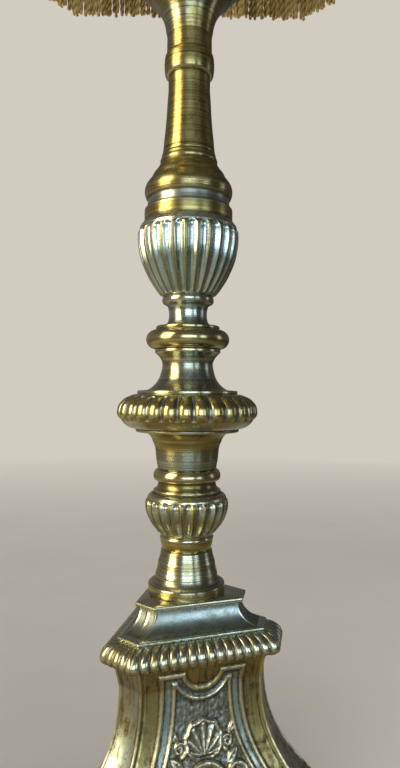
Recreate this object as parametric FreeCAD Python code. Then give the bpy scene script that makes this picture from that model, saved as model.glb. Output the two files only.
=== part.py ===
import FreeCAD, Part
import math
import os

# Candlestick lamp: a cast three-sided base, a column of turned sections on one hollow
# threaded tube, a lampholder with a bulb, a wire carrier and a fringed fabric shade.
#
# Frame: millimetres, +Z up, origin on the table under the column's axis.
# The base's front panel faces -Y.

V = FreeCAD.Vector
ORIGIN = V(0, 0, 0)
UP = V(0, 0, 1)

# ---------------------------------------------------------------- base, sizes
# A base section is a triangle with canted corners: its "face" is the distance from the
# axis to a long face, and its "cant" is half the width of a canted corner.
FOOT_R = 13.0
FOOT_H = 22.0
FOOT_NECK_R = 8.5
FOOT_NECK_H = 5.0
FOOT_MARGIN = 3.0            # from the foot's outside to the plinth's canted edge
FOOT_SCREW_R = 2.5
FOOT_SCREW_DEPTH = 14.0
FOOT_BOSS_R = 10.5
FOOT_BOSS_H = 8.0
SCREW_HEAD_R = 4.5
SCREW_HEAD_H = 3.0
HOLE_CLEARANCE = 0.2

BODY_WALL = 3.5
BODY_WEB = 6.0               # thickness of the casting's top, which the column pulls on
BODY_TOE_FACE = 64.0
BODY_TOE_CANT = 21.5
PLINTH_STEP = 3.0            # how far the plinth's faces stand out past the body's toe
PLINTH_CANT_STEP = 1.0
PLINTH_FACE = BODY_TOE_FACE + PLINTH_STEP
PLINTH_CANT = BODY_TOE_CANT + PLINTH_CANT_STEP
PLINTH_H = 12.0
BODY_FLARE_FACE = 43.0       # handle of the flare's curve
BODY_FLARE_CANT = 11.0
BODY_FLARE_H = 48.0          # the handle's height over the plinth
BODY_WAIST_FACE = 27.5
BODY_WAIST_CANT = 7.6
BODY_SWEEP_H = 45.0          # from the handle up to the waist
BODY_LIP_FACE = 30.0
BODY_LIP_CANT = 9.0
BODY_LIP_H = 12.5            # from the waist up to the border
FLARE_SECTIONS = 9

BORDER_FACE = 36.0
BORDER_CANT = 11.6
BORDER_H = 10.5
BORDER_UNDERCUT = 3.0
BORDER_TOP_INSET = 7.5

LEDGE_FACE = 28.0
LEDGE_CANT = 7.4
LEDGE_H = 1.8
COVE_H = 12.1
COVE_TOP_FACE = 19.6
COVE_TOP_CANT = 5.8
COVE_SECTIONS = 6
PLATE_FACE = 21.6
PLATE_CANT = 6.6
PLATE_H = 2.3

# ------------------------------------------------------------ the rod, sizes
ROD_R = 5.0
ROD_BORE_R = 4.0
ROD_CLEARANCE = 0.15
ROD_TAIL = 13.0              # how far the tube stands below the base's web
WASHER_R = 15.0
WASHER_H = 2.0
TAG_R = 9.0
TAG_H = 0.8
TAG_WIDTH = 9.0
TAG_REACH = 21.0
EARTH_SCREW_R = 2.0
EARTH_HEAD_R = 3.6
EARTH_HEAD_H = 2.6
EARTH_SHANK = 7.0
ROD_NUT_FLATS = 17.0
ROD_NUT_H = 6.0

BUSH_ANGLE = 150.0           # the rear face that the flex leaves by, from +X
BUSH_BORE_R = 3.5
BUSH_WALL = 1.2
BUSH_FLANGE_R = 5.6
BUSH_FLANGE_H = 1.5

# --------------------------------------------------------- column, outlines
# Each section's outline, from its seat up: radius, rise from the point before, and the
# arc between them as its rise over half its chord, positive where it swells.
BELL_FOOT = (
    (20.5, 0.0, 0.0),
    (20.8, 0.8, 0.3),
    (20.8, 3.6, 0.05),
    (20.0, 0.8, 0.3),
    (19.4, 0.4, 0.0),
    (16.9, 4.2, -0.3),
    (15.5, 6.5, -0.05),
    (13.9, 6.5, -0.06),
)
KNOP = (
    (12.9, 0.0, 0.0),
    (14.4, 5.6, 0.12),
    (14.4, 1.6, 0.3),
    (13.9, 0.8, 0.0),
)
SMALL_BOWL = (
    (14.2, 0.0, 0.0),
    (16.8, 3.6, 0.05),
    (21.7, 8.8, 0.12),
    (22.2, 3.4, 0.1),
    (21.6, 3.4, 0.15),
    (19.0, 3.4, 0.4),
    (18.3, 0.6, 0.0),
    (18.3, 1.3, 0.2),
)
COLLAR = (
    (17.9, 0.0, 0.0),
    (15.8, 3.0, -0.25),
    (15.9, 1.2, -0.1),
    (17.6, 1.0, 0.0),
    (17.8, 4.4, 0.3),
    (16.2, 1.4, 0.3),
)
WAIST = (
    (15.9, 0.0, 0.0),
    (16.9, 5.5, 0.0),
    (17.3, 4.4, 0.0),
    (18.8, 5.0, -0.12),
    (23.4, 5.4, -0.25),
)
GADROON_DISC = (
    (27.8, 0.0, 0.0),
    (28.2, 1.6, 0.3),
    (28.9, 0.3, 0.0),
    (36.0, 4.6, 0.25),
    (36.4, 0.4, 0.0),
    (38.3, 2.3, 0.15),
    (38.3, 3.0, 0.1),
    (36.4, 4.0, 0.2),
    (32.0, 3.0, 0.15),
    (28.4, 1.2, 0.1),
)
LOWER_SPOOL = (
    (27.3, 0.0, 0.0),
    (27.3, 1.9, 0.2),
    (22.0, 0.4, 0.0),
    (14.8, 8.8, -0.22),
    (13.8, 5.6, -0.06),
    (16.4, 4.6, -0.15),
    (17.9, 1.3, -0.1),
    (17.9, 1.8, 0.1),
)
TORUS_RING = (
    (18.2, 0.0, 0.0),
    (18.2, 0.3, 0.0),
    (18.2, 10.3, 0.9),
    (17.3, 0.3, 0.0),
    (17.3, 1.8, 0.2),
)
UPPER_SPOOL = (
    (14.8, 0.0, 0.0),
    (11.0, 2.6, -0.3),
    (10.4, 4.0, -0.1),
    (10.9, 3.6, -0.08),
    (13.0, 2.0, -0.25),
)
CUP_RING = (
    (13.4, 0.0, 0.0),
    (13.9, 3.4, 0.3),
    (13.2, 1.1, 0.0),
)
FLUTED_CUP = (
    (14.4, 0.0, 0.0),
    (18.7, 5.6, 0.06),
    (23.3, 8.6, 0.06),
    (26.6, 10.8, 0.08),
    (27.1, 4.4, 0.05),
    (26.7, 6.6, 0.08),
    (25.6, 2.4, 0.3),
    (23.0, 2.1, 0.3),
)
SHOULDER = (
    (24.1, 0.0, 0.0),
    (24.1, 6.6, 0.03),
    (22.9, 0.6, 0.0),
    (22.4, 5.0, -0.06),
    (23.2, 0.6, 0.0),
    (22.6, 8.2, 0.3),
    (20.8, 2.4, 0.0),
    (20.4, 0.4, 0.0),
    (17.4, 4.6, 0.15),
    (16.9, 1.2, 0.0),
    (15.6, 3.0, -0.15),
    (15.5, 1.6, 0.3),
    (14.9, 2.8, -0.1),
)
STEM = (
    (14.6, 0.0, 0.0),
    (13.7, 8.0, -0.03),
    (12.1, 19.0, -0.02),
    (11.5, 8.5, 0.0),
    (11.5, 8.0, 0.0),
)
TOP_CUP = (
    (12.2, 0.0, 0.0),
    (13.4, 1.6, 0.3),
    (13.4, 9.0, 0.08),
    (12.4, 1.6, 0.2),
    (12.3, 9.0, 0.0),
    (13.0, 4.2, -0.05),
    (14.0, 4.9, -0.06),
    (16.2, 5.4, -0.08),
    (22.6, 8.1, -0.1),
    (32.8, 11.2, -0.02),
    (39.4, 7.4, 0.0),
    (40.2, 1.4, 0.3),
)

# --------------------------------------------- drip pan and candle tube, sizes
PAN_R = 50.0
PAN_FLOOR_R = 40.0
PAN_RISE = 4.5
PAN_RIM_H = 5.0
PAN_WALL = 1.6
SOCKET_WALL = 1.4
SOCKET_H = 11.0
SOCKET_LIP_R = 15.0
SOCKET_FLOOR = 1.2
PAN_NUT_FLATS = 15.0
PAN_NUT_H = 5.0
CANDLE_R = 11.0
CANDLE_WALL = 1.2
CANDLE_H = 76.0
CANDLE_CLEARANCE = 0.1

# ------------------------------------------------------- lampholder, sizes
CAP_BASE_R = 12.5
CAP_NECK_H = 10.0            # the threaded stretch that the rod screws into
CAP_SKIRT_H = 5.5
HOLDER_R = 19.5
HOLDER_WALL = 1.3
SHELL_H = 34.0
FLANGE_LEVEL = 14.0          # the flange's top over the shell's foot
FLANGE_R = 24.0
FLANGE_H = 1.5
CORE_CLEARANCE = 0.2
CORE_FLOOR_LEVEL = 13.0      # the lamp pocket's floor over the shell's foot
CORE_TOP_GAP = 2.0
SCREW_SHELL_R = 13.4
SCREW_SHELL_WALL = 0.6
CONTACT_R = 3.5
CONTACT_H = 1.6
GRUB_R = 1.5
GRUB_LENGTH = 5.0
GRUB_LEVEL = 4.5

BAR_R = 1.6
BAR_LENGTH = 58.0
BAR_LEVEL = 6.5              # over the shell's foot
BAR_RUNNING_FIT = 0.05
BAR_HOLE_CLEARANCE = 0.4
BAR_TRAVEL = 4.0
BUTTON_R = 3.0
BUTTON_LENGTH = 6.0

RING_FIT = 0.1               # clamp ring on the shell's thread
RING_R = 27.0
RING_H = 8.0
RING_CHAMFER = 1.5
SEAT_GAP = 0.1               # under and over the carrier's foot
RING_GRIPS = 24
GRIP_R = 1.1

# ------------------------------------------------------------- bulb, sizes
BULB_CAP_R = 13.1
BULB_CAP_WALL = 0.5
BULB_CAP_H = 22.0
INSULATOR_R = 10.5
INSULATOR_H = 3.0
TIP_R = 4.0
TIP_H = 1.2
GLASS_R = 30.0
GLASS_NECK_R = 13.5
GLASS_NECK_H = 10.0
GLASS_FLARE_H = 34.0
GLASS_WALL = 0.8
BULB_STEM_R = 4.0
BULB_STEM_H = 30.0
FILAMENT_R = 0.9
FILAMENT_LENGTH = 32.0
FILAMENT_COUNT = 4
FILAMENT_RING_R = 8.0

# --------------------------------------------------- carrier and shade, sizes
SHADE_TURN = -18.0           # how the shade stands turned from the base's front panel
CARRIER_FOOT_R = 30.0
CARRIER_FOOT_CLEARANCE = 0.7
CARRIER_FOOT_H = 1.2
CARRIER_WIRE_R = 1.6
CARRIER_BRAZE = 1.5          # how far an arm's end lies in the foot's edge
CARRIER_R = 50.0
CARRIER_BEND_R = 8.0
CARRIER_H = 122.0            # from the flange up to the carrier's ring
CARRIER_ARMS = 4

GALLERY_GAP = 0.3            # between the carrier's ring and the shade's gallery
GALLERY_PLAY = 0.6
GALLERY_WALL = 1.5
GALLERY_SKIRT = 4.0
GALLERY_LIP = 3.0

RIM_WIRE_R = 1.5
RIM_CORNER_R = 6.0
RIB_WIRE_R = 1.2
COVER_HALF_LOWER = 117.0     # the fabric's outside, from the axis to a flat side
COVER_HALF_UPPER = 74.0
COVER_CUT_LOWER = 34.0       # leg of the cut corner
COVER_CUT_UPPER = 21.0
COVER_H = 182.0
COVER_WAIST = 11.0           # how far the sides pull in between the rims
COVER_WALL = 0.8
COVER_SECTIONS = 7
LINING_WALL = 0.5
FABRIC_GAP = 0.3
COVER_SLACK = 1.0            # between the lining and the wires, where the sides curve
GALLERY_DROP = 43.0          # from the cover's upper edge down to the gallery
BRAID_H = 12.0
BRAID_WALL = 2.0
BRAID_GAP = 0.8              # room for the cover's curve behind a straight band
FRINGE_WALL = 4.5
FRINGE_LENGTH = 60.0
FRINGE_LAP = 8.0             # the fringe's heading lies this far up the cover


# ------------------------------------------------------------------ helpers
def total_rise(outline):
    """The height of a turned section."""
    return sum(rise for _, rise, _ in outline)


def polar(radius, degrees, z=0.0):
    """The point at that radius and angle from +X."""
    angle = math.radians(degrees)
    return V(radius * math.cos(angle), radius * math.sin(angle), z)


def curved_edge(start, end, bulge):
    """A line, or an arc that rises by bulge times half its chord, in the XZ plane."""
    if not bulge:
        return Part.makeLine(start, end)
    chord = end - start
    across = V(chord.z, 0, -chord.x).normalize()
    crown = (start + end) * 0.5 + across * (bulge * chord.Length / 2)
    return Part.Arc(start, crown, end).toShape()


def revolve(edges):
    """The solid of revolution about Z of a closed outline in the XZ plane."""
    return Part.Face(Part.Wire(edges)).revolve(ORIGIN, UP, 360)


def turned(outline, seat, bore_r):
    """A turned section with a round bore, standing on height seat."""
    z = seat
    points = []
    for radius, rise, bulge in outline:
        z += rise
        points.append((V(radius, 0, z), bulge))
    edges = [Part.makeLine(V(bore_r, 0, seat), points[0][0])]
    for (start, _), (end, bulge) in zip(points, points[1:]):
        edges.append(curved_edge(start, end, bulge))
    edges.append(Part.makeLine(points[-1][0], V(bore_r, 0, z)))
    edges.append(Part.makeLine(V(bore_r, 0, z), V(bore_r, 0, seat)))
    return revolve(edges)


def tube(outer_r, inner_r, z, height):
    """A round tube standing on height z."""
    outer = Part.makeCylinder(outer_r, height, V(0, 0, z))
    return outer.cut(Part.makeCylinder(inner_r, height, V(0, 0, z)))


def hex_nut(across_flats, height, bore_r, z):
    """A hexagon nut standing on height z."""
    corner_r = across_flats / (2 * math.cos(math.radians(30)))
    corners = [polar(corner_r, 60 * step, z) for step in range(7)]
    prism = Part.Face(Part.makePolygon(corners)).extrude(V(0, 0, height))
    return prism.cut(Part.makeCylinder(bore_r, height, V(0, 0, z)))


def pipe(edges, wire_r):
    """A round wire along connected edges."""
    path = Part.Wire(edges)
    first = path.OrderedEdges[0]
    start = first.valueAt(first.FirstParameter)
    along = first.tangentAt(first.FirstParameter)
    section = Part.Wire(Part.makeCircle(wire_r, start, along))
    return path.makePipeShell([section], True, True)


# ---------------------------------------------------------------------- base
def canted_distance(face, cant):
    """The distance from the axis to a canted corner's face."""
    return 2 * (face - cant * math.cos(math.radians(30)))


def triangle(face, cant, z, inset=0.0):
    """A canted triangle's outline at height z, drawn in by inset."""
    face -= inset
    cant -= inset * math.tan(math.radians(30))
    reach = canted_distance(face, cant)
    corners = []
    for side in range(3):
        angle = -30 + 120 * side
        out = polar(reach, angle, z)
        along = polar(cant, angle + 90)
        corners += [out - along, out + along]
    return Part.makePolygon(corners + [corners[0]])


def triangle_slab(face, cant, z, height, inset=0.0):
    """A canted triangle of even thickness."""
    return Part.Face(triangle(face, cant, z, inset)).extrude(V(0, 0, height))


def bezier(t, ends):
    """The point at t on a cubic curve through the first and last of four values."""
    a, b, c, d = ends
    u = 1 - t
    return u * u * u * a + 3 * u * u * t * b + 3 * u * t * t * c + t * t * t * d


PLINTH_TOP = FOOT_H + PLINTH_H
FLARE_TOP = PLINTH_TOP + BODY_FLARE_H + BODY_SWEEP_H
BODY_TOP = FLARE_TOP + BODY_LIP_H
WEB_BOTTOM = BODY_TOP - BODY_WEB
CAP_SEAT = BODY_TOP + BORDER_H
COVE_SEAT = CAP_SEAT + LEDGE_H
PLATE_SEAT = COVE_SEAT + COVE_H
COLUMN_SEAT = PLATE_SEAT + PLATE_H
FOOT_CIRCLE_R = canted_distance(PLINTH_FACE, PLINTH_CANT) - FOOT_R - FOOT_MARGIN
FOOT_ANGLES = (-150.0, -30.0, 90.0)


def flare_sections():
    """Face, cant and height of the body's flare, from the plinth up to the waist."""
    faces = (BODY_TOE_FACE, BODY_FLARE_FACE, BODY_WAIST_FACE, BODY_WAIST_FACE)
    cants = (BODY_TOE_CANT, BODY_FLARE_CANT, BODY_WAIST_CANT, BODY_WAIST_CANT)
    handle = PLINTH_TOP + BODY_FLARE_H
    heights = (PLINTH_TOP, handle, handle, FLARE_TOP)
    steps = [index / (FLARE_SECTIONS - 1) for index in range(FLARE_SECTIONS)]
    return [(bezier(t, faces), bezier(t, cants), bezier(t, heights)) for t in steps]


def plinth():
    """The stepped frame under the body, with a boss over each foot."""
    frame = triangle_slab(PLINTH_FACE, PLINTH_CANT, FOOT_H, PLINTH_H)
    well = triangle_slab(BODY_TOE_FACE, BODY_TOE_CANT, FOOT_H, PLINTH_H, BODY_WALL)
    frame = frame.cut(well)
    for angle in FOOT_ANGLES:
        seat = polar(FOOT_CIRCLE_R, angle, FOOT_H)
        frame = frame.fuse(Part.makeCylinder(FOOT_BOSS_R, FOOT_BOSS_H, seat))
    for angle in FOOT_ANGLES:
        seat = polar(FOOT_CIRCLE_R, angle, FOOT_H)
        frame = frame.cut(Part.makeCylinder(FOOT_SCREW_R + HOLE_CLEARANCE, FOOT_BOSS_H, seat))
    return frame.cut(bush_hole()).removeSplitter()


def base_body():
    """The hollow casting: flare, waist and lip, closed by a web on top."""
    sections = flare_sections()
    lip = (BODY_LIP_FACE, BODY_LIP_CANT, BODY_TOP)
    flare = Part.makeLoft([triangle(*s) for s in sections], True)
    hollow = Part.makeLoft([triangle(*s, BODY_WALL) for s in sections], True)
    top = Part.makeLoft([triangle(*sections[-1]), triangle(*lip)], True, True)
    throat_h = WEB_BOTTOM - FLARE_TOP
    throat = triangle_slab(BODY_WAIST_FACE, BODY_WAIST_CANT, FLARE_TOP, throat_h, BODY_WALL)
    rod_hole = Part.makeCylinder(ROD_R + ROD_CLEARANCE, BODY_WEB, V(0, 0, WEB_BOTTOM))
    return flare.fuse(top).cut([hollow, throat, rod_hole])


def bush_frame():
    """Where the bush's flange bears on the plinth, and the way out."""
    out = polar(1.0, BUSH_ANGLE)
    return polar(PLINTH_FACE, BUSH_ANGLE, FOOT_H + PLINTH_H / 2), out


def bush_hole():
    """The hole that the bush sits in."""
    seat, out = bush_frame()
    depth = 2 * (PLINTH_FACE - BODY_TOE_FACE + BODY_WALL)
    return Part.makeCylinder(BUSH_BORE_R + BUSH_WALL, depth, seat - out * (depth / 2), out)


def cable_bush():
    """The bush of the flex's way out, with a flange outside."""
    seat, out = bush_frame()
    length = PLINTH_FACE - BODY_TOE_FACE + BODY_WALL
    barrel = Part.makeCylinder(BUSH_BORE_R + BUSH_WALL, length, seat - out * length, out)
    flange = Part.makeCylinder(BUSH_FLANGE_R, BUSH_FLANGE_H, seat, out)
    whole = length + BUSH_FLANGE_H
    bore = Part.makeCylinder(BUSH_BORE_R, whole, seat - out * length, out)
    return barrel.fuse(flange).cut(bore).removeSplitter()


def foot(angle):
    """A bun foot with a neck and a blind hole for its screw."""
    belly = FOOT_H - FOOT_NECK_H
    edges = [
        Part.makeLine(V(0, 0, 0), V(FOOT_NECK_R, 0, 0)),
        Part.Arc(V(FOOT_NECK_R, 0, 0), V(FOOT_R, 0, belly / 2), V(FOOT_NECK_R, 0, belly)).toShape(),
        Part.makeLine(V(FOOT_NECK_R, 0, belly), V(FOOT_NECK_R, 0, FOOT_H)),
        Part.makeLine(V(FOOT_NECK_R, 0, FOOT_H), V(0, 0, FOOT_H)),
        Part.makeLine(V(0, 0, FOOT_H), V(0, 0, 0)),
    ]
    bottom = V(0, 0, FOOT_H - FOOT_SCREW_DEPTH)
    hole = Part.makeCylinder(FOOT_SCREW_R, FOOT_SCREW_DEPTH, bottom)
    shape = revolve(edges).cut(hole)
    shape.translate(polar(FOOT_CIRCLE_R, angle))
    return shape


def foot_screws():
    """One screw down through each boss into its foot."""
    screws = []
    for angle in FOOT_ANGLES:
        bottom = polar(FOOT_CIRCLE_R, angle, FOOT_H - FOOT_SCREW_DEPTH)
        head = polar(FOOT_CIRCLE_R, angle, FOOT_H + FOOT_BOSS_H)
        shank = Part.makeCylinder(FOOT_SCREW_R, FOOT_SCREW_DEPTH + FOOT_BOSS_H, bottom)
        cap = Part.makeCylinder(SCREW_HEAD_R, SCREW_HEAD_H, head)
        screws.append(shank.fuse(cap).removeSplitter())
    return Part.makeCompound(screws)


def gadroon_border():
    """The rounded border that the body carries and the cap stands on."""
    low = triangle(BORDER_FACE, BORDER_CANT, BODY_TOP, BORDER_UNDERCUT)
    belly = triangle(BORDER_FACE, BORDER_CANT, BODY_TOP + BORDER_UNDERCUT)
    brow = triangle(BORDER_FACE, BORDER_CANT, CAP_SEAT - BORDER_UNDERCUT, BORDER_UNDERCUT)
    crown = triangle(BORDER_FACE, BORDER_CANT, CAP_SEAT, BORDER_TOP_INSET)
    ring = Part.makeLoft([low, belly, brow, crown], True, True)
    bore = Part.makeCylinder(ROD_R + ROD_CLEARANCE, BORDER_H, V(0, 0, BODY_TOP))
    return ring.cut(bore)


def base_cap():
    """Ledge, hollow-curved cove and top plate in one casting."""
    ledge = triangle_slab(LEDGE_FACE, LEDGE_CANT, CAP_SEAT, LEDGE_H)
    sections = []
    for index in range(COVE_SECTIONS):
        turn = math.radians(90 * index / (COVE_SECTIONS - 1))
        inward = math.sin(turn)
        face = LEDGE_FACE + (COVE_TOP_FACE - LEDGE_FACE) * inward
        cant = LEDGE_CANT + (COVE_TOP_CANT - LEDGE_CANT) * inward
        sections.append(triangle(face, cant, COVE_SEAT + COVE_H * (1 - math.cos(turn))))
    cove = Part.makeLoft(sections, True)
    plate = triangle_slab(PLATE_FACE, PLATE_CANT, PLATE_SEAT, PLATE_H)
    height = COLUMN_SEAT - CAP_SEAT
    bore = Part.makeCylinder(ROD_R + ROD_CLEARANCE, height, V(0, 0, CAP_SEAT))
    return ledge.fuse([cove, plate]).cut(bore).removeSplitter()


def earth_tag():
    """A solder tag under the rod's nut, with a tongue for the earth screw."""
    z = WEB_BOTTOM - WASHER_H - TAG_H
    ring = Part.makeCylinder(TAG_R, TAG_H, V(0, 0, z))
    tongue = Part.makeBox(TAG_REACH, TAG_WIDTH, TAG_H, V(0, -TAG_WIDTH / 2, z))
    rod_hole = Part.makeCylinder(ROD_R + ROD_CLEARANCE, TAG_H, V(0, 0, z))
    screw_hole = Part.makeCylinder(EARTH_SCREW_R, TAG_H, earth_screw_foot(z))
    return ring.fuse(tongue).cut([rod_hole, screw_hole]).removeSplitter()


def earth_screw_foot(z):
    """The earth screw's centre at height z."""
    return V(TAG_REACH - TAG_WIDTH / 2, 0, z)


def earth_screw():
    """The earth terminal's screw, hanging through the tag's tongue."""
    z = WEB_BOTTOM - WASHER_H - TAG_H
    shank = Part.makeCylinder(EARTH_SCREW_R, EARTH_SHANK, earth_screw_foot(z + TAG_H - EARTH_SHANK))
    head = Part.makeCylinder(EARTH_HEAD_R, EARTH_HEAD_H, earth_screw_foot(z - EARTH_HEAD_H))
    return shank.fuse(head).removeSplitter()


# -------------------------------------------------------------------- column
COLUMN = (
    ("bell_foot", BELL_FOOT),
    ("knop", KNOP),
    ("small_bowl", SMALL_BOWL),
    ("collar", COLLAR),
    ("waist", WAIST),
    ("gadroon_disc", GADROON_DISC),
    ("lower_spool", LOWER_SPOOL),
    ("torus_ring", TORUS_RING),
    ("upper_spool", UPPER_SPOOL),
    ("cup_ring", CUP_RING),
    ("fluted_cup", FLUTED_CUP),
    ("shoulder", SHOULDER),
    ("stem", STEM),
    ("top_cup", TOP_CUP),
)
PAN_SEAT = COLUMN_SEAT + sum(total_rise(outline) for _, outline in COLUMN)
SOCKET_SEAT = PAN_SEAT + PAN_WALL
CANDLE_SEAT = SOCKET_SEAT + SOCKET_FLOOR
HOLDER_SEAT = CANDLE_SEAT + CANDLE_H
SHELL_SEAT = HOLDER_SEAT + CAP_NECK_H + CAP_SKIRT_H
FLANGE_TOP = SHELL_SEAT + FLANGE_LEVEL
POCKET_FLOOR = SHELL_SEAT + CORE_FLOOR_LEVEL
SHELL_TOP = SHELL_SEAT + SHELL_H
BULB_SEAT = POCKET_FLOOR + CONTACT_H


def column_sections():
    """Each section of the column, stacked on the base's plate."""
    shapes = {}
    seat = COLUMN_SEAT
    for name, outline in COLUMN:
        shapes[name] = turned(outline, seat, ROD_R + ROD_CLEARANCE)
        seat += total_rise(outline)
    return shapes


def threaded_tube():
    """The hollow rod from inside the base up into the lampholder."""
    bottom = WEB_BOTTOM - ROD_TAIL
    return tube(ROD_R, ROD_BORE_R, bottom, HOLDER_SEAT + CAP_NECK_H - bottom)


def drip_pan():
    """A shallow dish with a rolled-up rim."""
    z = PAN_SEAT
    lip = z + PAN_RISE + PAN_RIM_H
    bore_r = ROD_R + ROD_CLEARANCE
    edges = [
        Part.makeLine(V(bore_r, 0, z), V(PAN_FLOOR_R, 0, z)),
        curved_edge(V(PAN_FLOOR_R, 0, z), V(PAN_R - PAN_WALL, 0, z + PAN_RISE), 0.15),
        curved_edge(V(PAN_R - PAN_WALL, 0, z + PAN_RISE), V(PAN_R, 0, lip), 0.2),
        curved_edge(V(PAN_R, 0, lip), V(PAN_R - PAN_WALL, 0, lip), 0.8),
        Part.makeLine(V(PAN_R - PAN_WALL, 0, lip), V(PAN_R - 2 * PAN_WALL, 0, z + PAN_RISE + PAN_WALL)),
        Part.makeLine(V(PAN_R - 2 * PAN_WALL, 0, z + PAN_RISE + PAN_WALL), V(PAN_FLOOR_R, 0, z + PAN_WALL)),
        Part.makeLine(V(PAN_FLOOR_R, 0, z + PAN_WALL), V(bore_r, 0, z + PAN_WALL)),
        Part.makeLine(V(bore_r, 0, z + PAN_WALL), V(bore_r, 0, z)),
    ]
    return revolve(edges)


def candle_socket():
    """The little cup that the candle sleeve stands in."""
    inner = CANDLE_R + CANDLE_CLEARANCE
    outer = inner + SOCKET_WALL
    z = SOCKET_SEAT
    top = z + SOCKET_H
    bore_r = ROD_R + ROD_CLEARANCE
    edges = [
        Part.makeLine(V(bore_r, 0, z), V(outer, 0, z)),
        curved_edge(V(outer, 0, z), V(SOCKET_LIP_R, 0, top), -0.12),
        Part.makeLine(V(SOCKET_LIP_R, 0, top), V(inner, 0, top)),
        Part.makeLine(V(inner, 0, top), V(inner, 0, z + SOCKET_FLOOR)),
        Part.makeLine(V(inner, 0, z + SOCKET_FLOOR), V(bore_r, 0, z + SOCKET_FLOOR)),
        Part.makeLine(V(bore_r, 0, z + SOCKET_FLOOR), V(bore_r, 0, z)),
    ]
    return revolve(edges)


# ---------------------------------------------------------------- lampholder
def holder_cap():
    """The lampholder's lower cup, which screws on the rod."""
    z = HOLDER_SEAT
    skirt = z + CAP_NECK_H
    top = skirt + CAP_SKIRT_H
    bore_r = ROD_R + ROD_CLEARANCE
    inner = HOLDER_R - HOLDER_WALL
    edges = [
        Part.makeLine(V(bore_r, 0, z), V(CAP_BASE_R, 0, z)),
        curved_edge(V(CAP_BASE_R, 0, z), V(HOLDER_R, 0, skirt), 0.35),
        Part.makeLine(V(HOLDER_R, 0, skirt), V(HOLDER_R, 0, top)),
        Part.makeLine(V(HOLDER_R, 0, top), V(inner, 0, top)),
        Part.makeLine(V(inner, 0, top), V(inner, 0, skirt)),
        Part.makeLine(V(inner, 0, skirt), V(bore_r, 0, skirt)),
        Part.makeLine(V(bore_r, 0, skirt), V(bore_r, 0, z)),
    ]
    return revolve(edges).cut(grub_screw())


def grub_screw():
    """The screw that stops the lampholder turning on the rod."""
    z = HOLDER_SEAT + GRUB_LEVEL
    start = ROD_R + ROD_CLEARANCE
    return Part.makeCylinder(GRUB_R, GRUB_LENGTH, V(0, start, z), V(0, 1, 0))


def bar_hole(radius):
    """The cross hole that the switch's bar runs in."""
    span = 2 * HOLDER_R
    z = SHELL_SEAT + BAR_LEVEL
    return Part.makeCylinder(radius, span, V(-span / 2, 0, z), V(1, 0, 0))


def holder_shell():
    """The outer shell with the flange that the shade carrier stands on."""
    shell = tube(HOLDER_R, HOLDER_R - HOLDER_WALL, SHELL_SEAT, SHELL_H)
    flange = tube(FLANGE_R, HOLDER_R - HOLDER_WALL, FLANGE_TOP - FLANGE_H, FLANGE_H)
    hole = bar_hole(BAR_R + BAR_HOLE_CLEARANCE)
    return shell.fuse(flange).cut(hole).removeSplitter()


def holder_core():
    """The insulating insert, with the bar's guide and the lamp pocket."""
    radius = HOLDER_R - HOLDER_WALL - CORE_CLEARANCE
    bottom = HOLDER_SEAT + CAP_NECK_H
    top = SHELL_TOP - CORE_TOP_GAP
    block = Part.makeCylinder(radius, top - bottom, V(0, 0, bottom))
    pocket_r = SCREW_SHELL_R + SCREW_SHELL_WALL
    pocket = Part.makeCylinder(pocket_r, top - POCKET_FLOOR, V(0, 0, POCKET_FLOOR))
    return block.cut([pocket, bar_hole(BAR_R + BAR_RUNNING_FIT)])


def screw_shell():
    """The threaded sleeve that the bulb screws into."""
    outer = SCREW_SHELL_R + SCREW_SHELL_WALL
    return tube(outer, SCREW_SHELL_R, POCKET_FLOOR, SHELL_TOP - CORE_TOP_GAP - POCKET_FLOOR)


def switch_bar():
    """The push-through bar with a button on each end, pushed over to -X."""
    z = SHELL_SEAT + BAR_LEVEL
    left = -(BAR_LENGTH + BAR_TRAVEL) / 2
    along = V(1, 0, 0)
    bar = Part.makeCylinder(BAR_R, BAR_LENGTH, V(left, 0, z), along)
    first = Part.makeCylinder(BUTTON_R, BUTTON_LENGTH, V(left, 0, z), along)
    last_x = left + BAR_LENGTH - BUTTON_LENGTH
    last = Part.makeCylinder(BUTTON_R, BUTTON_LENGTH, V(last_x, 0, z), along)
    return bar.fuse([first, last]).removeSplitter()


def clamp_ring():
    """The threaded ring over the carrier's foot, with finger grips round it."""
    z = FLANGE_TOP + SEAT_GAP + CARRIER_FOOT_H + SEAT_GAP
    inner = HOLDER_R + RING_FIT
    ring = tube(RING_R, inner, z, RING_H)
    outer_edges = [e for e in ring.Edges if abs(e.BoundBox.XMax - RING_R) < 1e-6 and e.Closed]
    ring = ring.makeChamfer(RING_CHAMFER, outer_edges)
    for index in range(RING_GRIPS):
        foot_point = polar(RING_R, 360 * index / RING_GRIPS, z)
        ring = ring.cut(Part.makeCylinder(GRIP_R, RING_H, foot_point))
    return ring


# ---------------------------------------------------------------------- bulb
def bulb_tip():
    """The bulb's end contact."""
    return Part.makeCylinder(TIP_R, TIP_H, V(0, 0, BULB_SEAT))


def bulb_insulator():
    """The black insulator between the end contact and the cap."""
    return Part.makeCone(TIP_R, INSULATOR_R, INSULATOR_H, V(0, 0, BULB_SEAT + TIP_H))


def bulb_cap():
    """The screw cap, an open cup over the insulator."""
    z = BULB_SEAT + TIP_H + INSULATOR_H
    return tube(BULB_CAP_R, BULB_CAP_R - BULB_CAP_WALL, z, BULB_CAP_H).fuse(
        tube(BULB_CAP_R, TIP_R, z, BULB_CAP_WALL)).removeSplitter()


GLASS_SEAT = BULB_SEAT + TIP_H + INSULATOR_H + BULB_CAP_H


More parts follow.
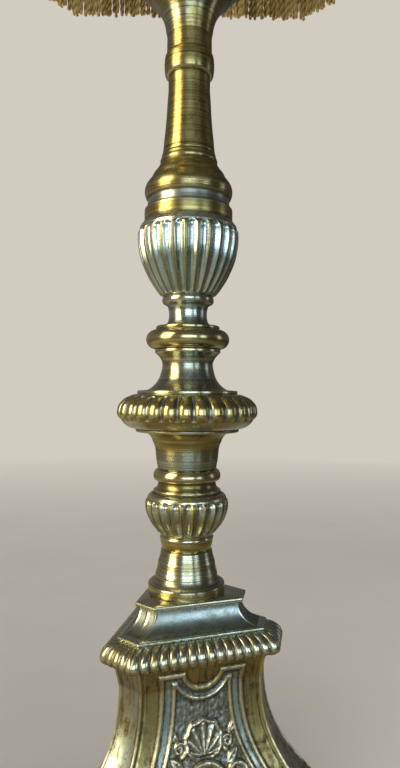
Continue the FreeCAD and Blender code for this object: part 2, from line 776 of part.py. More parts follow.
def glass_solid(inset):
    """The glass's outside, or its inside at the wall's thickness."""
    neck = GLASS_NECK_R - inset
    wide = GLASS_R - inset
    z0 = GLASS_SEAT
    z1 = z0 + GLASS_NECK_H
    z2 = z1 + GLASS_FLARE_H
    crown = z2 + wide
    diagonal = wide * math.sqrt(0.5)
    edges = [
        Part.makeLine(V(0, 0, z0), V(neck, 0, z0)),
        Part.makeLine(V(neck, 0, z0), V(neck, 0, z1)),
        curved_edge(V(neck, 0, z1), V(wide, 0, z2), 0.12),
        Part.Arc(V(wide, 0, z2), V(diagonal, 0, z2 + diagonal), V(0, 0, crown)).toShape(),
        Part.makeLine(V(0, 0, crown), V(0, 0, z0)),
    ]
    return revolve(edges)


def bulb_glass():
    """The thin glass envelope, open at its neck."""
    return glass_solid(0.0).cut(glass_solid(GLASS_WALL))


def bulb_stem():
    """The glass stem that carries the filaments."""
    stem = Part.makeCone(BULB_STEM_R, BULB_STEM_R / 2, BULB_STEM_H, V(0, 0, GLASS_SEAT))
    flare = Part.makeCylinder(GLASS_NECK_R - GLASS_WALL, GLASS_WALL, V(0, 0, GLASS_SEAT))
    return stem.fuse(flare).removeSplitter()


def filaments():
    """Upright filaments in a ring round the stem."""
    rods = []
    for index in range(FILAMENT_COUNT):
        angle = 360 * index / FILAMENT_COUNT
        foot_point = polar(FILAMENT_RING_R, angle, GLASS_SEAT + BULB_STEM_H / 2)
        rods.append(Part.makeCylinder(FILAMENT_R, FILAMENT_LENGTH, foot_point))
    return Part.makeCompound(rods)


# --------------------------------------------------------------- the carrier
CARRIER_Z = FLANGE_TOP + SEAT_GAP
CARRIER_TOP = CARRIER_Z + CARRIER_H


def carrier_foot():
    """The washer that the clamp ring holds down."""
    return tube(CARRIER_FOOT_R, HOLDER_R + CARRIER_FOOT_CLEARANCE, CARRIER_Z, CARRIER_FOOT_H)


def carrier_arm(index):
    """A wire brazed to the foot's edge, out and up beside the bulb."""
    angle = SHADE_TURN + 45 + 360 * index / CARRIER_ARMS
    z = CARRIER_Z + CARRIER_FOOT_H / 2
    bend = CARRIER_BEND_R
    sink = bend * (1 - math.sqrt(0.5))
    start = polar(CARRIER_FOOT_R - CARRIER_BRAZE, angle, z)
    corner_in = polar(CARRIER_R - bend, angle, z)
    corner_mid = polar(CARRIER_R - sink, angle, z + sink)
    corner_out = polar(CARRIER_R, angle, z + bend)
    end = polar(CARRIER_R, angle, CARRIER_TOP)
    edges = [
        Part.makeLine(start, corner_in),
        Part.Arc(corner_in, corner_mid, corner_out).toShape(),
        Part.makeLine(corner_out, end),
    ]
    return pipe(edges, CARRIER_WIRE_R)


def carrier_arms():
    """The four wires between the foot and the ring."""
    return Part.makeCompound([carrier_arm(index) for index in range(CARRIER_ARMS)])


def carrier_ring():
    """The ring on the arms, which the shade's gallery stands on."""
    return Part.makeTorus(CARRIER_R, CARRIER_WIRE_R, V(0, 0, CARRIER_TOP))


# ----------------------------------------------------------------- the shade
GALLERY_Z = CARRIER_TOP + CARRIER_WIRE_R + GALLERY_GAP
COVER_TOP = GALLERY_Z + GALLERY_DROP
COVER_BOTTOM = COVER_TOP - COVER_H


def octagon(half, cut, z, inset=0.0):
    """Corners of a square with cut corners, drawn in by inset."""
    half -= inset
    cut -= inset * (2 - math.sqrt(2))
    corners = []
    for side in range(4):
        angle = SHADE_TURN + 90 * side
        out = polar(half, angle, z)
        along = polar(half - cut, angle + 90)
        corners += [out - along, out + along]
    return corners


def octagon_wire(half, cut, z, inset=0.0):
    """The closed outline of a square with cut corners."""
    corners = octagon(half, cut, z, inset)
    return Part.makePolygon(corners + [corners[0]])


def cover_size(share):
    """Half width and corner cut at that share of the cover's height."""
    half = COVER_HALF_LOWER + (COVER_HALF_UPPER - COVER_HALF_LOWER) * share
    cut = COVER_CUT_LOWER + (COVER_CUT_UPPER - COVER_CUT_LOWER) * share
    return half - COVER_WAIST * 4 * share * (1 - share), cut


def cover_solid(inset):
    """Everything inside the cover's outside, drawn in by inset."""
    wires = []
    for index in range(COVER_SECTIONS):
        share = index / (COVER_SECTIONS - 1)
        half, cut = cover_size(share)
        wires.append(octagon_wire(half, cut, COVER_BOTTOM + COVER_H * share, inset))
    return Part.makeLoft(wires, True)


def shade_cover():
    """The stretched outer fabric."""
    return cover_solid(0.0).cut(cover_solid(COVER_WALL))


LINING_INSET = COVER_WALL + FABRIC_GAP
WIRE_INSET = LINING_INSET + LINING_WALL + FABRIC_GAP + RIM_WIRE_R
RIM_SHARE = RIM_WIRE_R / COVER_H


def shade_lining():
    """The inner fabric."""
    return cover_solid(LINING_INSET).cut(cover_solid(LINING_INSET + LINING_WALL))


def rim(share):
    """A closed wire inside the lining at that share of its height, corners rounded."""
    half, cut = cover_size(share)
    z = COVER_BOTTOM + COVER_H * share
    inset = WIRE_INSET + COVER_SLACK
    corners = octagon(half, cut, z, inset)
    edges = []
    ends = []
    for before, corner, after in zip(corners[-1:] + corners, corners, corners[1:] + corners[:1]):
        towards = (before - corner).normalize()
        onwards = (after - corner).normalize()
        reach = RIM_CORNER_R * math.tan(math.radians(22.5))
        middle = (towards + onwards).normalize()
        sink = RIM_CORNER_R * (1 / math.cos(math.radians(22.5)) - 1)
        ends.append((corner + towards * reach, corner + middle * sink, corner + onwards * reach))
    for (start, crown, end), (following, _, _) in zip(ends, ends[1:] + ends[:1]):
        edges.append(Part.Arc(start, crown, end).toShape())
        edges.append(Part.makeLine(end, following))
    return pipe(edges, RIM_WIRE_R)


def frame_lower_rim():
    """The lower wire of the frame."""
    return rim(RIM_SHARE)


def frame_upper_rim():
    """The upper wire of the frame."""
    return rim(1 - RIM_SHARE)


def frame_ribs():
    """A curved wire up each edge of the cover, from rim to rim."""
    ribs = []
    lines = []
    for share in (RIM_SHARE, 0.5, 1 - RIM_SHARE):
        half, cut = cover_size(share)
        z = COVER_BOTTOM + COVER_H * share
        lines.append(octagon(half, cut, z, WIRE_INSET + COVER_SLACK))
    for low, middle, high in zip(*lines):
        ribs.append(pipe([Part.Arc(low, middle, high).toShape()], RIB_WIRE_R))
    return Part.makeCompound(ribs)


def gallery_ring():
    """The flat ring over the carrier's ring, with a skirt that centres it."""
    skirt_in = CARRIER_R + CARRIER_WIRE_R + GALLERY_PLAY
    skirt_out = skirt_in + GALLERY_WALL
    lip = tube(skirt_out, CARRIER_R - GALLERY_LIP, GALLERY_Z, GALLERY_WALL)
    skirt = tube(skirt_out, skirt_in, GALLERY_Z - GALLERY_SKIRT, GALLERY_SKIRT)
    return lip.fuse(skirt).removeSplitter()


def gallery_arms():
    """Four wires from the gallery up to the middle of each side of the upper rim."""
    arms = []
    half, _ = cover_size(1.0)
    inner = CARRIER_R + CARRIER_WIRE_R + GALLERY_PLAY
    outer = half - WIRE_INSET - COVER_SLACK
    for side in range(4):
        angle = SHADE_TURN + 90 * side
        start = polar(inner, angle, GALLERY_Z + GALLERY_WALL / 2)
        end = polar(outer, angle, COVER_TOP - RIM_WIRE_R)
        arms.append(pipe([Part.makeLine(start, end)], RIB_WIRE_R))
    return Part.makeCompound(arms)


def band(z, height, thickness, gap):
    """An upright band that gap outside the cover, at the wider plan of its two ends."""
    sizes = []
    for level in (z, z + height):
        share = min(max((level - COVER_BOTTOM) / COVER_H, 0.0), 1.0)
        sizes.append(cover_size(share))
    half, cut = max(sizes)
    outer = Part.Face(octagon_wire(half, cut, z, -gap - thickness)).extrude(V(0, 0, height))
    inner = Part.Face(octagon_wire(half, cut, z, -gap)).extrude(V(0, 0, height))
    return outer.cut(inner)


def braid_upper():
    """The braid round the top of the cover."""
    return band(COVER_TOP - BRAID_H, BRAID_H, BRAID_WALL, BRAID_GAP)


def fringe():
    """The hanging fringe, as one closed skirt."""
    top = COVER_BOTTOM + FRINGE_LAP
    return band(top - FRINGE_LENGTH, FRINGE_LENGTH, FRINGE_WALL, FABRIC_GAP)


def braid_lower():
    """The braid over the fringe's heading."""
    top = COVER_BOTTOM + FRINGE_LAP
    return band(top, BRAID_H, BRAID_WALL, BRAID_GAP)


# --------------------------------------------------------------------- build
def build():
    """Every piece by its name."""
    rod_fit = ROD_R + ROD_CLEARANCE
    nut_seat = WEB_BOTTOM - WASHER_H - TAG_H - ROD_NUT_H
    inner_candle_r = CANDLE_R - CANDLE_WALL
    shapes = {
        "plinth": plinth(),
        "base_body": base_body(),
        "gadroon_border": gadroon_border(),
        "base_cap": base_cap(),
        "foot_screws": foot_screws(),
        "cable_bush": cable_bush(),
        "rod_washer": tube(WASHER_R, rod_fit, WEB_BOTTOM - WASHER_H, WASHER_H),
        "earth_tag": earth_tag(),
        "earth_screw": earth_screw(),
        "rod_nut": hex_nut(ROD_NUT_FLATS, ROD_NUT_H, rod_fit, nut_seat),
        "threaded_tube": threaded_tube(),
        "drip_pan": drip_pan(),
        "candle_socket": candle_socket(),
        "pan_nut": hex_nut(PAN_NUT_FLATS, PAN_NUT_H, rod_fit, CANDLE_SEAT),
        "candle_tube": tube(CANDLE_R, inner_candle_r, CANDLE_SEAT, CANDLE_H),
        "holder_cap": holder_cap(),
        "grub_screw": grub_screw(),
        "holder_shell": holder_shell(),
        "holder_core": holder_core(),
        "screw_shell": screw_shell(),
        "centre_contact": Part.makeCylinder(CONTACT_R, CONTACT_H, V(0, 0, POCKET_FLOOR)),
        "switch_bar": switch_bar(),
        "clamp_ring": clamp_ring(),
        "bulb_tip": bulb_tip(),
        "bulb_insulator": bulb_insulator(),
        "bulb_cap": bulb_cap(),
        "bulb_glass": bulb_glass(),
        "bulb_stem": bulb_stem(),
        "filaments": filaments(),
        "carrier_foot": carrier_foot(),
        "carrier_arms": carrier_arms(),
        "carrier_ring": carrier_ring(),
        "frame_lower_rim": frame_lower_rim(),
        "frame_upper_rim": frame_upper_rim(),
        "frame_ribs": frame_ribs(),
        "gallery_ring": gallery_ring(),
        "gallery_arms": gallery_arms(),
        "shade_cover": shade_cover(),
        "shade_lining": shade_lining(),
        "braid_upper": braid_upper(),
        "braid_lower": braid_lower(),
        "fringe": fringe(),
    }
    shapes.update(column_sections())
    for index, angle in enumerate(FOOT_ANGLES, 1):
        shapes[f"foot_{index}"] = foot(angle)
    return shapes


os.makedirs("parts", exist_ok=True)
for node, shape in build().items():
    if not shape.isValid():
        print("not valid:", node)
    shape.exportStep(os.path.join("parts", f"{node}.step"))
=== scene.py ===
"""The looks of a candlestick lamp: worn silver plate on cast and turned brass, with a
fringed silk shade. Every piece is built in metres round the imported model."""

import logging
import math
from dataclasses import dataclass, field
from enum import Enum
from typing import Callable

import bpy
import numpy as np
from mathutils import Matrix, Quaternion, Vector


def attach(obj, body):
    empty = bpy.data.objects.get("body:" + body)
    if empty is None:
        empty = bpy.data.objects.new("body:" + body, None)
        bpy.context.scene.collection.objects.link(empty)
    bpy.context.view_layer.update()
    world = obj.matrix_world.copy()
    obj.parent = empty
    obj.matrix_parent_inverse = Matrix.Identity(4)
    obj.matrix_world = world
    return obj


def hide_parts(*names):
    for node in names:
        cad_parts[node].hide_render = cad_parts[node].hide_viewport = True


LOG = logging.getLogger("lamp")
MM = 0.001
Array = np.ndarray
Colour = tuple[float, float, float]
Outline = tuple[tuple[float, float, float], ...]
ROD_HOLE_R = 5.15
COS30 = math.cos(math.radians(30))
FOOT_ANGLES = (-150, -30, 90)
SHADE_TURN = -18.0
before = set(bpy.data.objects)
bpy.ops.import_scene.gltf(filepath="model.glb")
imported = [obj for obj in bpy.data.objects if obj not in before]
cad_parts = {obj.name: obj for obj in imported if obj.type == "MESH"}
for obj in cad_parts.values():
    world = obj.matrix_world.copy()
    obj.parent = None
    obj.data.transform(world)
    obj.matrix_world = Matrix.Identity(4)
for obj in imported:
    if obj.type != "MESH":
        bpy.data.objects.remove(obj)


# ------------------------------------------------------------------ small sums
def smooth(low: float, high: float, value: Array) -> Array:
    """0 below low, 1 above high, and an even S between them."""
    t = np.clip((value - low) / (high - low), 0, 1)
    return t * t * (3 - 2 * t)


def ridge(distance: Array, width: float) -> Array:
    """A rounded ridge: 1 on the line and 0 from half the width outwards."""
    return np.sqrt(np.clip(1 - (2 * distance / width) ** 2, 0, 1))


def box_blur(values: Array, reach: tuple[int, int]) -> Array:
    """The mean over a window of the given half sizes, by running sums."""
    for axis, half in enumerate(reach):
        pads = [(half + 1, half) if a == axis else (0, 0) for a in range(2)]
        total = np.cumsum(np.pad(values, pads, mode="edge"), axis=axis)
        width = 2 * half + 1
        high = np.take(total, range(width, total.shape[axis]), axis=axis)
        low = np.take(total, range(total.shape[axis] - width), axis=axis)
        values = (high - low) / width
    return values


def cavity(height: Array, reach: tuple[int, int], depth: float) -> tuple[Array, Array]:
    """How hollow and how proud each place lies.

    Args:
        height: a grid of heights in mm.
        reach: half sizes of the neighbourhood, in grid steps.
        depth: the step, in mm, that counts as fully hollow or proud.

    Returns:
        Two grids from 0 to 1: hollow and proud.
    """
    lift = (height - box_blur(height, reach)) / depth
    return np.clip(-lift, 0, 1), np.clip(lift, 0, 1)


def ring_cavity(height: Array, reach: tuple[int, int], depth: float) -> tuple[Array, Array]:
    """The cavity of a grid whose columns close into a ring."""
    wide = height.shape[1]
    hollow, proud = cavity(np.concatenate([height] * 3, 1), reach, depth)
    return hollow[:, wide:2 * wide], proud[:, wide:2 * wide]


def bezier(t: Array, ends: tuple[float, float, float, float]) -> Array:
    """A cubic curve's values at t."""
    a, b, c, d = ends
    u = 1 - t
    return u * u * u * a + 3 * u * u * t * b + 3 * u * t * t * c + t * t * t * d


def outward(degrees: float) -> Array:
    """The level direction at an angle round the lamp's axis."""
    angle = math.radians(degrees)
    return np.array([math.cos(angle), math.sin(angle), 0.0])


# ----------------------------------------------------------------- mesh making
class Skin:
    """Points, faces and point values that become one mesh piece."""

    def __init__(self) -> None:
        """An empty skin."""
        self.points: list[Array] = []
        self.faces: list[list[int]] = []
        self.values: dict[str, list[Array]] = {"hollow": [], "proud": [], "tone": []}
        self.cloth: list[Array] = []
        self.count = 0

    def add(self, points: Array, faces: list[list[int]], **values: Array) -> None:
        """Adds faces.

        Args:
            points: points in mm, in a grid of any shape.
            faces: each face's point numbers, counted from this call's first point.
            values: named values at each point.
        """
        flat = points.reshape(-1, 3)
        self.points.append(flat)
        self.faces += [[i + self.count for i in face] for face in faces]
        for name, kept in self.values.items():
            given = values.get(name)
            kept.append(np.zeros(len(flat)) if given is None else np.broadcast_to(
                given, points.shape[:-1]).reshape(-1))
        cloth = values.get("cloth")
        self.cloth.append(np.zeros((len(flat), 3)) if cloth is None else cloth.reshape(-1, 3))
        self.count += len(flat)

    def grid(self, points: Array, round_rows: bool = False, **values: Array) -> None:
        """Adds a sheet of quads whose columns close into a ring.

        Args:
            points: rows x columns x 3, in mm, columns running anticlockwise.
            round_rows: whether the last row joins the first as well.
            values: rows x columns values.
        """
        rows, cols = points.shape[:2]
        spans = rows if round_rows else rows - 1
        r, c = np.meshgrid(np.arange(spans), np.arange(cols), indexing="ij")
        up, on = (r + 1) % rows, (c + 1) % cols
        quads = np.stack([r * cols + c, r * cols + on, up * cols + on, up * cols + c], -1)
        self.add(points, quads.reshape(-1, 4).tolist(), **values)

    def close(self, sheet: Array, rest: Array, values: dict[str, tuple[Array, float]]) -> None:
        """Adds a sheet that is closed through further rows.

        Args:
            sheet: rows x columns x 3, in mm, the side that shows.
            rest: the rows that lead from its last row back to its first.
            values: each named value over the sheet, with its level on the rest.
        """
        whole = {name: np.vstack([shown, np.full(rest.shape[:2], level)])
                 for name, (shown, level) in values.items()}
        self.grid(np.concatenate([sheet, rest]), True, **whole)

    def tubes(self, points: Array, **values: Array) -> None:
        """Adds capped tubes.

        Args:
            points: tubes x rows x columns x 3, in mm.
            values: named values at each point.
        """
        count, rows, cols = points.shape[:3]
        n, r, c = np.meshgrid(np.arange(count), np.arange(rows - 1), np.arange(cols), indexing="ij")
        start, on = n * rows * cols, (c + 1) % cols
        up = (r + 1) * cols
        quads = np.stack([start + r * cols + c, start + r * cols + on,
                          start + up + on, start + up + c], -1).reshape(-1, 4).tolist()
        for index in range(count):
            first = index * rows * cols
            last = first + (rows - 1) * cols
            quads.append([first + c for c in range(cols)][::-1])
            quads.append([last + c for c in range(cols)])
        self.add(points, quads, **values)

    def piece(self, name: str) -> bpy.types.Object:
        """The finished mesh object, shaded smooth, in metres."""
        mesh = bpy.data.meshes.new(name)
        mesh.from_pydata((np.concatenate(self.points) * MM).tolist(), [], self.faces)
        for key, kept in self.values.items():
            layer = mesh.attributes.new(key, "FLOAT", "POINT")
            layer.data.foreach_set("value", np.concatenate(kept).astype(np.float32))
        layer = mesh.attributes.new("cloth", "FLOAT_VECTOR", "POINT")
        layer.data.foreach_set("vector", np.concatenate(self.cloth).astype(np.float32).ravel())
        mesh.polygons.foreach_set("use_smooth", np.ones(len(mesh.polygons), bool))
        mesh.update()
        made = bpy.data.objects.new(name, mesh)
        bpy.context.scene.collection.objects.link(made)
        return made


def dress(piece: bpy.types.Object, material: bpy.types.Material, body: str, slot: str,
          *nodes: str) -> bpy.types.Object:
    """Gives a new piece its finish and its body, and hides the CAD nodes it stands for.

    Args:
        piece: the piece.
        material: its finish.
        body: the body it rides on.
        slot: not used.
        nodes: the CAD nodes it stands for, if any.

    Returns:
        The piece.
    """
    piece.data.materials.clear()
    piece.data.materials.append(material)
    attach(piece, body)
    if nodes:
        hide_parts(*nodes)
    LOG.info("%s rides on %s for %s", piece.name, body, ", ".join(nodes) or "no node")
    return piece


def sharpen(piece: bpy.types.Object, degrees: float) -> None:
    """Keeps edges steeper than the angle crisp."""
    piece.data.set_sharp_from_angle(angle=math.radians(degrees))


# ----------------------------------------------------------- outlines to lathe
def arc_points(start: Array, end: Array, bulge: float, step: float) -> Array:
    """Points along a line or an arc, up to its end and without its start.

    Args:
        start: (radius, height) in mm.
        end: (radius, height) in mm.
        bulge: the arc's rise over half its chord, 0 for a line.
        step: the spacing, in mm.

    Returns:
        The points.
    """
    chord = end - start
    length = float(np.hypot(*chord))
    if abs(bulge) < 1e-6:
        share = np.linspace(0, 1, max(2, int(length / step) + 1))[1:, None]
        return start + chord * share
    half = length / 2
    sag = bulge * half
    radius = (half * half + sag * sag) / (2 * abs(sag))
    reach = 2 * math.atan(abs(bulge))
    across = np.array([chord[1], -chord[0]]) / length * math.copysign(1, bulge)
    centre = (start + end) / 2 + across * (abs(sag) - radius)
    angles = np.linspace(-reach, reach, max(3, int(2 * reach * radius / step) + 1))[1:]
    along = chord / length
    return centre + radius * (np.cos(angles)[:, None] * across + np.sin(angles)[:, None] * along)


def trace(outline: Outline, seat: float, step: float = 0.08) -> Array:
    """A turned outline as closely spaced points.

    Args:
        outline: each corner's radius, its rise from the last and the bulge on the way.
        seat: the first corner's height, in mm.
        step: the spacing, in mm.

    Returns:
        (radius, height) points in mm, from the seat up.
    """
    at = np.array([outline[0][0], seat])
    runs = [at[None, :]]
    for radius, rise, bulge in outline[1:]:
        end = np.array([radius, at[1] + rise])
        runs.append(arc_points(at, end, bulge, step))
        at = end
    return np.concatenate(runs)


def ease(line: Array, ends: float = 0.12, fillet: float = 0.16, coarse: float = 0.8,
         fine: float = 3.0) -> Array:
    """Rounds a traced outline's corners and spaces its points by how much it bends.

    Args:
        line: closely spaced (radius, height) points.
        ends: how much the two ends are rounded in, in mm.
        fillet: the spread of the rounding, in mm.
        coarse: the widest spacing, in mm.
        fine: points per radian of bend.

    Returns:
        The eased outline.
    """
    run = np.concatenate([[0], np.cumsum(np.hypot(*np.diff(line, axis=0).T))])
    keep = np.concatenate([[True], np.diff(run) > 1e-6])
    line, run = line[keep], run[keep]
    even = np.arange(0, run[-1], 0.05)
    points = np.stack([np.interp(even, run, line[:, i]) for i in range(2)], 1)
    points = np.vstack([points, line[-1:]])
    reach = int(3 * fillet / 0.05)
    weights = np.exp(-0.5 * (np.arange(-reach, reach + 1) * 0.05 / fillet) ** 2)
    weights /= weights.sum()
    inner = 2 * points[0] - points[reach:0:-1]
    outer = 2 * points[-1] - points[-2:-reach - 2:-1]
    padded = np.vstack([inner, points, outer])
    points = np.stack([np.convolve(padded[:, i], weights, "valid") for i in range(2)], 1)
    slope = np.unwrap(np.arctan2(*np.gradient(points, axis=0).T[::-1]))
    bend = np.abs(np.gradient(slope))
    cost = np.concatenate([[0], np.cumsum(0.05 / coarse + fine * bend[1:])])
    where = np.interp(np.linspace(0, cost[-1], int(cost[-1]) + 8), cost, np.arange(len(points)))
    made = np.stack([np.interp(where, np.arange(len(points)), points[:, i]) for i in range(2)], 1)
    nick = np.array([ends, 0.0])
    return np.vstack([made[0] - nick, made[1:-1], made[-1] - nick])


def outline_lift(line: Array, reach: float = 0.9) -> Array:
    """How far each outline point stands out from the outline blurred over the reach.

    Args:
        line: (radius, height) points in mm.
        reach: the spread of the blur, in mm.

    Returns:
        Distances in mm, positive outwards.
    """
    run = np.concatenate([[0], np.cumsum(np.hypot(*np.diff(line, axis=0).T))])
    near = np.exp(-0.5 * ((run[:, None] - run[None, :]) / reach) ** 2)
    widths = np.gradient(run)
    mean = (near * widths) @ line / (near * widths).sum(1)[:, None]
    normal = np.gradient(line, run, axis=0)[:, ::-1] * np.array([1, -1])
    normal /= np.maximum(np.hypot(*normal.T), 1e-9)[:, None]
    return ((line - mean) * normal).sum(1)


@dataclass
class Cut:
    """What a carving does at each point: its lift in mm, and the marks it leaves."""

    lift: Array
    dirt: Array | None = None
    rub: Array | None = None
    tone: Array | None = None


Carving = Callable[[Array, Array, Array], Cut]


def lathe(skin: Skin, line: Array, bore: float, segments: int, carve: Carving | None = None,
          shade: Array | None = None) -> None:
    """Spins an outline into a closed solid with a round bore.

    Args:
        skin: where it is added.
        line: (radius, height) points in mm, from the bottom up.
        bore: the bore's radius, in mm.
        segments: points round the axis.
        carve: gives the lift in mm along the outline's normal from the turn (rad), the
            radius and the height of each point.
        shade: the finish's tone per outline point, 1 all plate and -1 all brass.
    """
    turn = np.arange(segments) / segments * 2 * math.pi
    slope = np.gradient(line, axis=0)
    normal = slope[:, ::-1] * np.array([1, -1])
    normal /= np.maximum(np.hypot(*normal.T), 1e-9)[:, None]
    lift = outline_lift(line)
    radius = np.repeat(line[:, :1], segments, 1)
    height = np.repeat(line[:, 1:], segments, 1)
    hollow = np.repeat(np.clip(-lift / 0.2 - 0.1, 0, 1)[:, None], segments, 1)
    # raised ridges count as proud, which rubs the plate and lightens them: a painted highlight
    # along each ridge as well as wear
    proud = np.repeat(np.clip(lift / 0.16 - 0.2, 0, 1)[:, None], segments, 1)
    tone = np.zeros_like(radius) if shade is None else np.repeat(shade[:, None], segments, 1)
    if carve:
        cut = carve(turn[None, :], radius, height)
        radius = radius + normal[:, :1] * cut.lift
        height = height + normal[:, 1:] * cut.lift
        if cut.dirt is None:
            cut.dirt, cut.rub = ring_cavity(cut.lift, (2, max(2, segments // 90)), 0.35)
        hollow = np.clip(hollow + cut.dirt, 0, 1)
        proud = np.clip(proud + cut.rub, 0, 1)
        if cut.tone is not None:
            tone = np.where(cut.tone == 0, tone, cut.tone)
    ends = line[[-1, 0], 1][:, None] * np.ones((2, segments))
    radius = np.vstack([radius, np.full((2, segments), bore)])
    height = np.vstack([height, ends])
    points = np.stack([radius * np.cos(turn), radius * np.sin(turn), height], -1)
    skin.close(points[:-2], points[-2:], {"hollow": (hollow, 0.0), "proud": (proud, 0.0),
                                          "tone": (tone, 0.0)})


# ------------------------------------------------------------------ node helper
class Tree:
    """A short way to add and join shader nodes."""

    def __init__(self, tree: bpy.types.NodeTree) -> None:
        """Wraps a node tree."""
        self.tree = tree
        self.last: bpy.types.Node | None = None

    def node(self, kind: str, operation: str | None = None,
             inputs: dict[str | int, object] | None = None, **settings: object) -> bpy.types.Node:
        """Adds a node.

        Args:
            kind: the node's type without its ShaderNode prefix.
            operation: its operation, where it has one.
            inputs: values or output sockets by input name or number.
            settings: other properties of the node.

        Returns:
            The node.
        """
        made = self.tree.nodes.new("ShaderNode" + kind)
        if operation:
            made.operation = operation
        for key, value in settings.items():
            setattr(made, key, value)
        self.feed(made, inputs or {})
        return made

    def feed(self, node: bpy.types.Node, inputs: dict[str | int, object]) -> None:
        """Gives a node's inputs their values, or links them to output sockets."""
        for key, value in inputs.items():
            socket = node.inputs[key]
            if isinstance(value, bpy.types.NodeSocket):
                self.tree.links.new(value, socket)
            else:
                socket.default_value = value

    def find(self, kind: str) -> bpy.types.Node:
        """The tree's first node of a type."""
        return next(node for node in self.tree.nodes if node.type == kind)

    def math(self, operation: str, *values: object, clamp: bool = False) -> bpy.types.NodeSocket:
        """The result of one sum."""
        made = self.node("Math", operation, dict(enumerate(values)), use_clamp=clamp)
        return made.outputs[0]

    def more(self, base: object, value: object, weight: object,
             clamp: bool = False) -> bpy.types.NodeSocket:
        """The base with a weighted value added to it."""
        return self.math("ADD", base, self.math("MULTIPLY", value, weight), clamp=clamp)

    def mix(self, share: object, first: bpy.types.NodeSocket,
            second: bpy.types.NodeSocket) -> bpy.types.NodeSocket:
        """One shader that gives way to another by a share."""
        return self.node("MixShader", None, {0: share, 1: first, 2: second}).outputs[0]

    def blend(self, share: object, first: object, second: object,
              kind: str = "MIX") -> bpy.types.NodeSocket:
        """Two colours mixed by a share."""
        made = self.node("Mix", None, {0: share, 6: first, 7: second}, data_type="RGBA",
                         blend_type=kind)
        return made.outputs[2]

    def span(self, value: object, low: object, high: object, to_low: object = 0.0,
             to_high: object = 1.0) -> bpy.types.NodeSocket:
        """A value carried from one range to another, held at its ends."""
        names = ("Value", "From Min", "From Max", "To Min", "To Max")
        made = self.node("MapRange", None, dict(zip(names, (value, low, high, to_low, to_high))))
        return made.outputs[0]

    def noise(self, vector: object, scale: object, detail: float = 3.0, rough: float = 0.55,
              **settings: object) -> bpy.types.NodeSocket:
        """A noise value at a place.

        Args:
            vector: the place, or a height for one-dimensional noise.
            scale: the noise's scale.
            detail: how many finer layers it has.
            rough: how strong the finer layers are.
            settings: other properties of the node.

        Returns:
            The value, 0 to 1.
        """
        kind = "W" if settings.get("noise_dimensions") == "1D" else "Vector"
        made = self.node("TexNoise", None, {"Scale": scale, "Detail": detail,
                                            "Roughness": rough, kind: vector}, **settings)
        return made.outputs[0]

    def place(self) -> bpy.types.NodeSocket:
        """The place on the piece, in metres."""
        return self.node("TexCoord").outputs["Object"]

    def value(self, name: str) -> bpy.types.NodeSocket:
        """A named point value of the mesh."""
        return self.node("Attribute", None, None, attribute_name=name).outputs["Fac"]

    def vector(self, name: str) -> bpy.types.NodeSocket:
        """A named point vector of the mesh."""
        return self.node("Attribute", None, None, attribute_name=name).outputs["Vector"]


def rgba(colour: Colour) -> tuple[float, float, float, float]:
    """A colour with full cover."""
    return (*colour, 1.0)


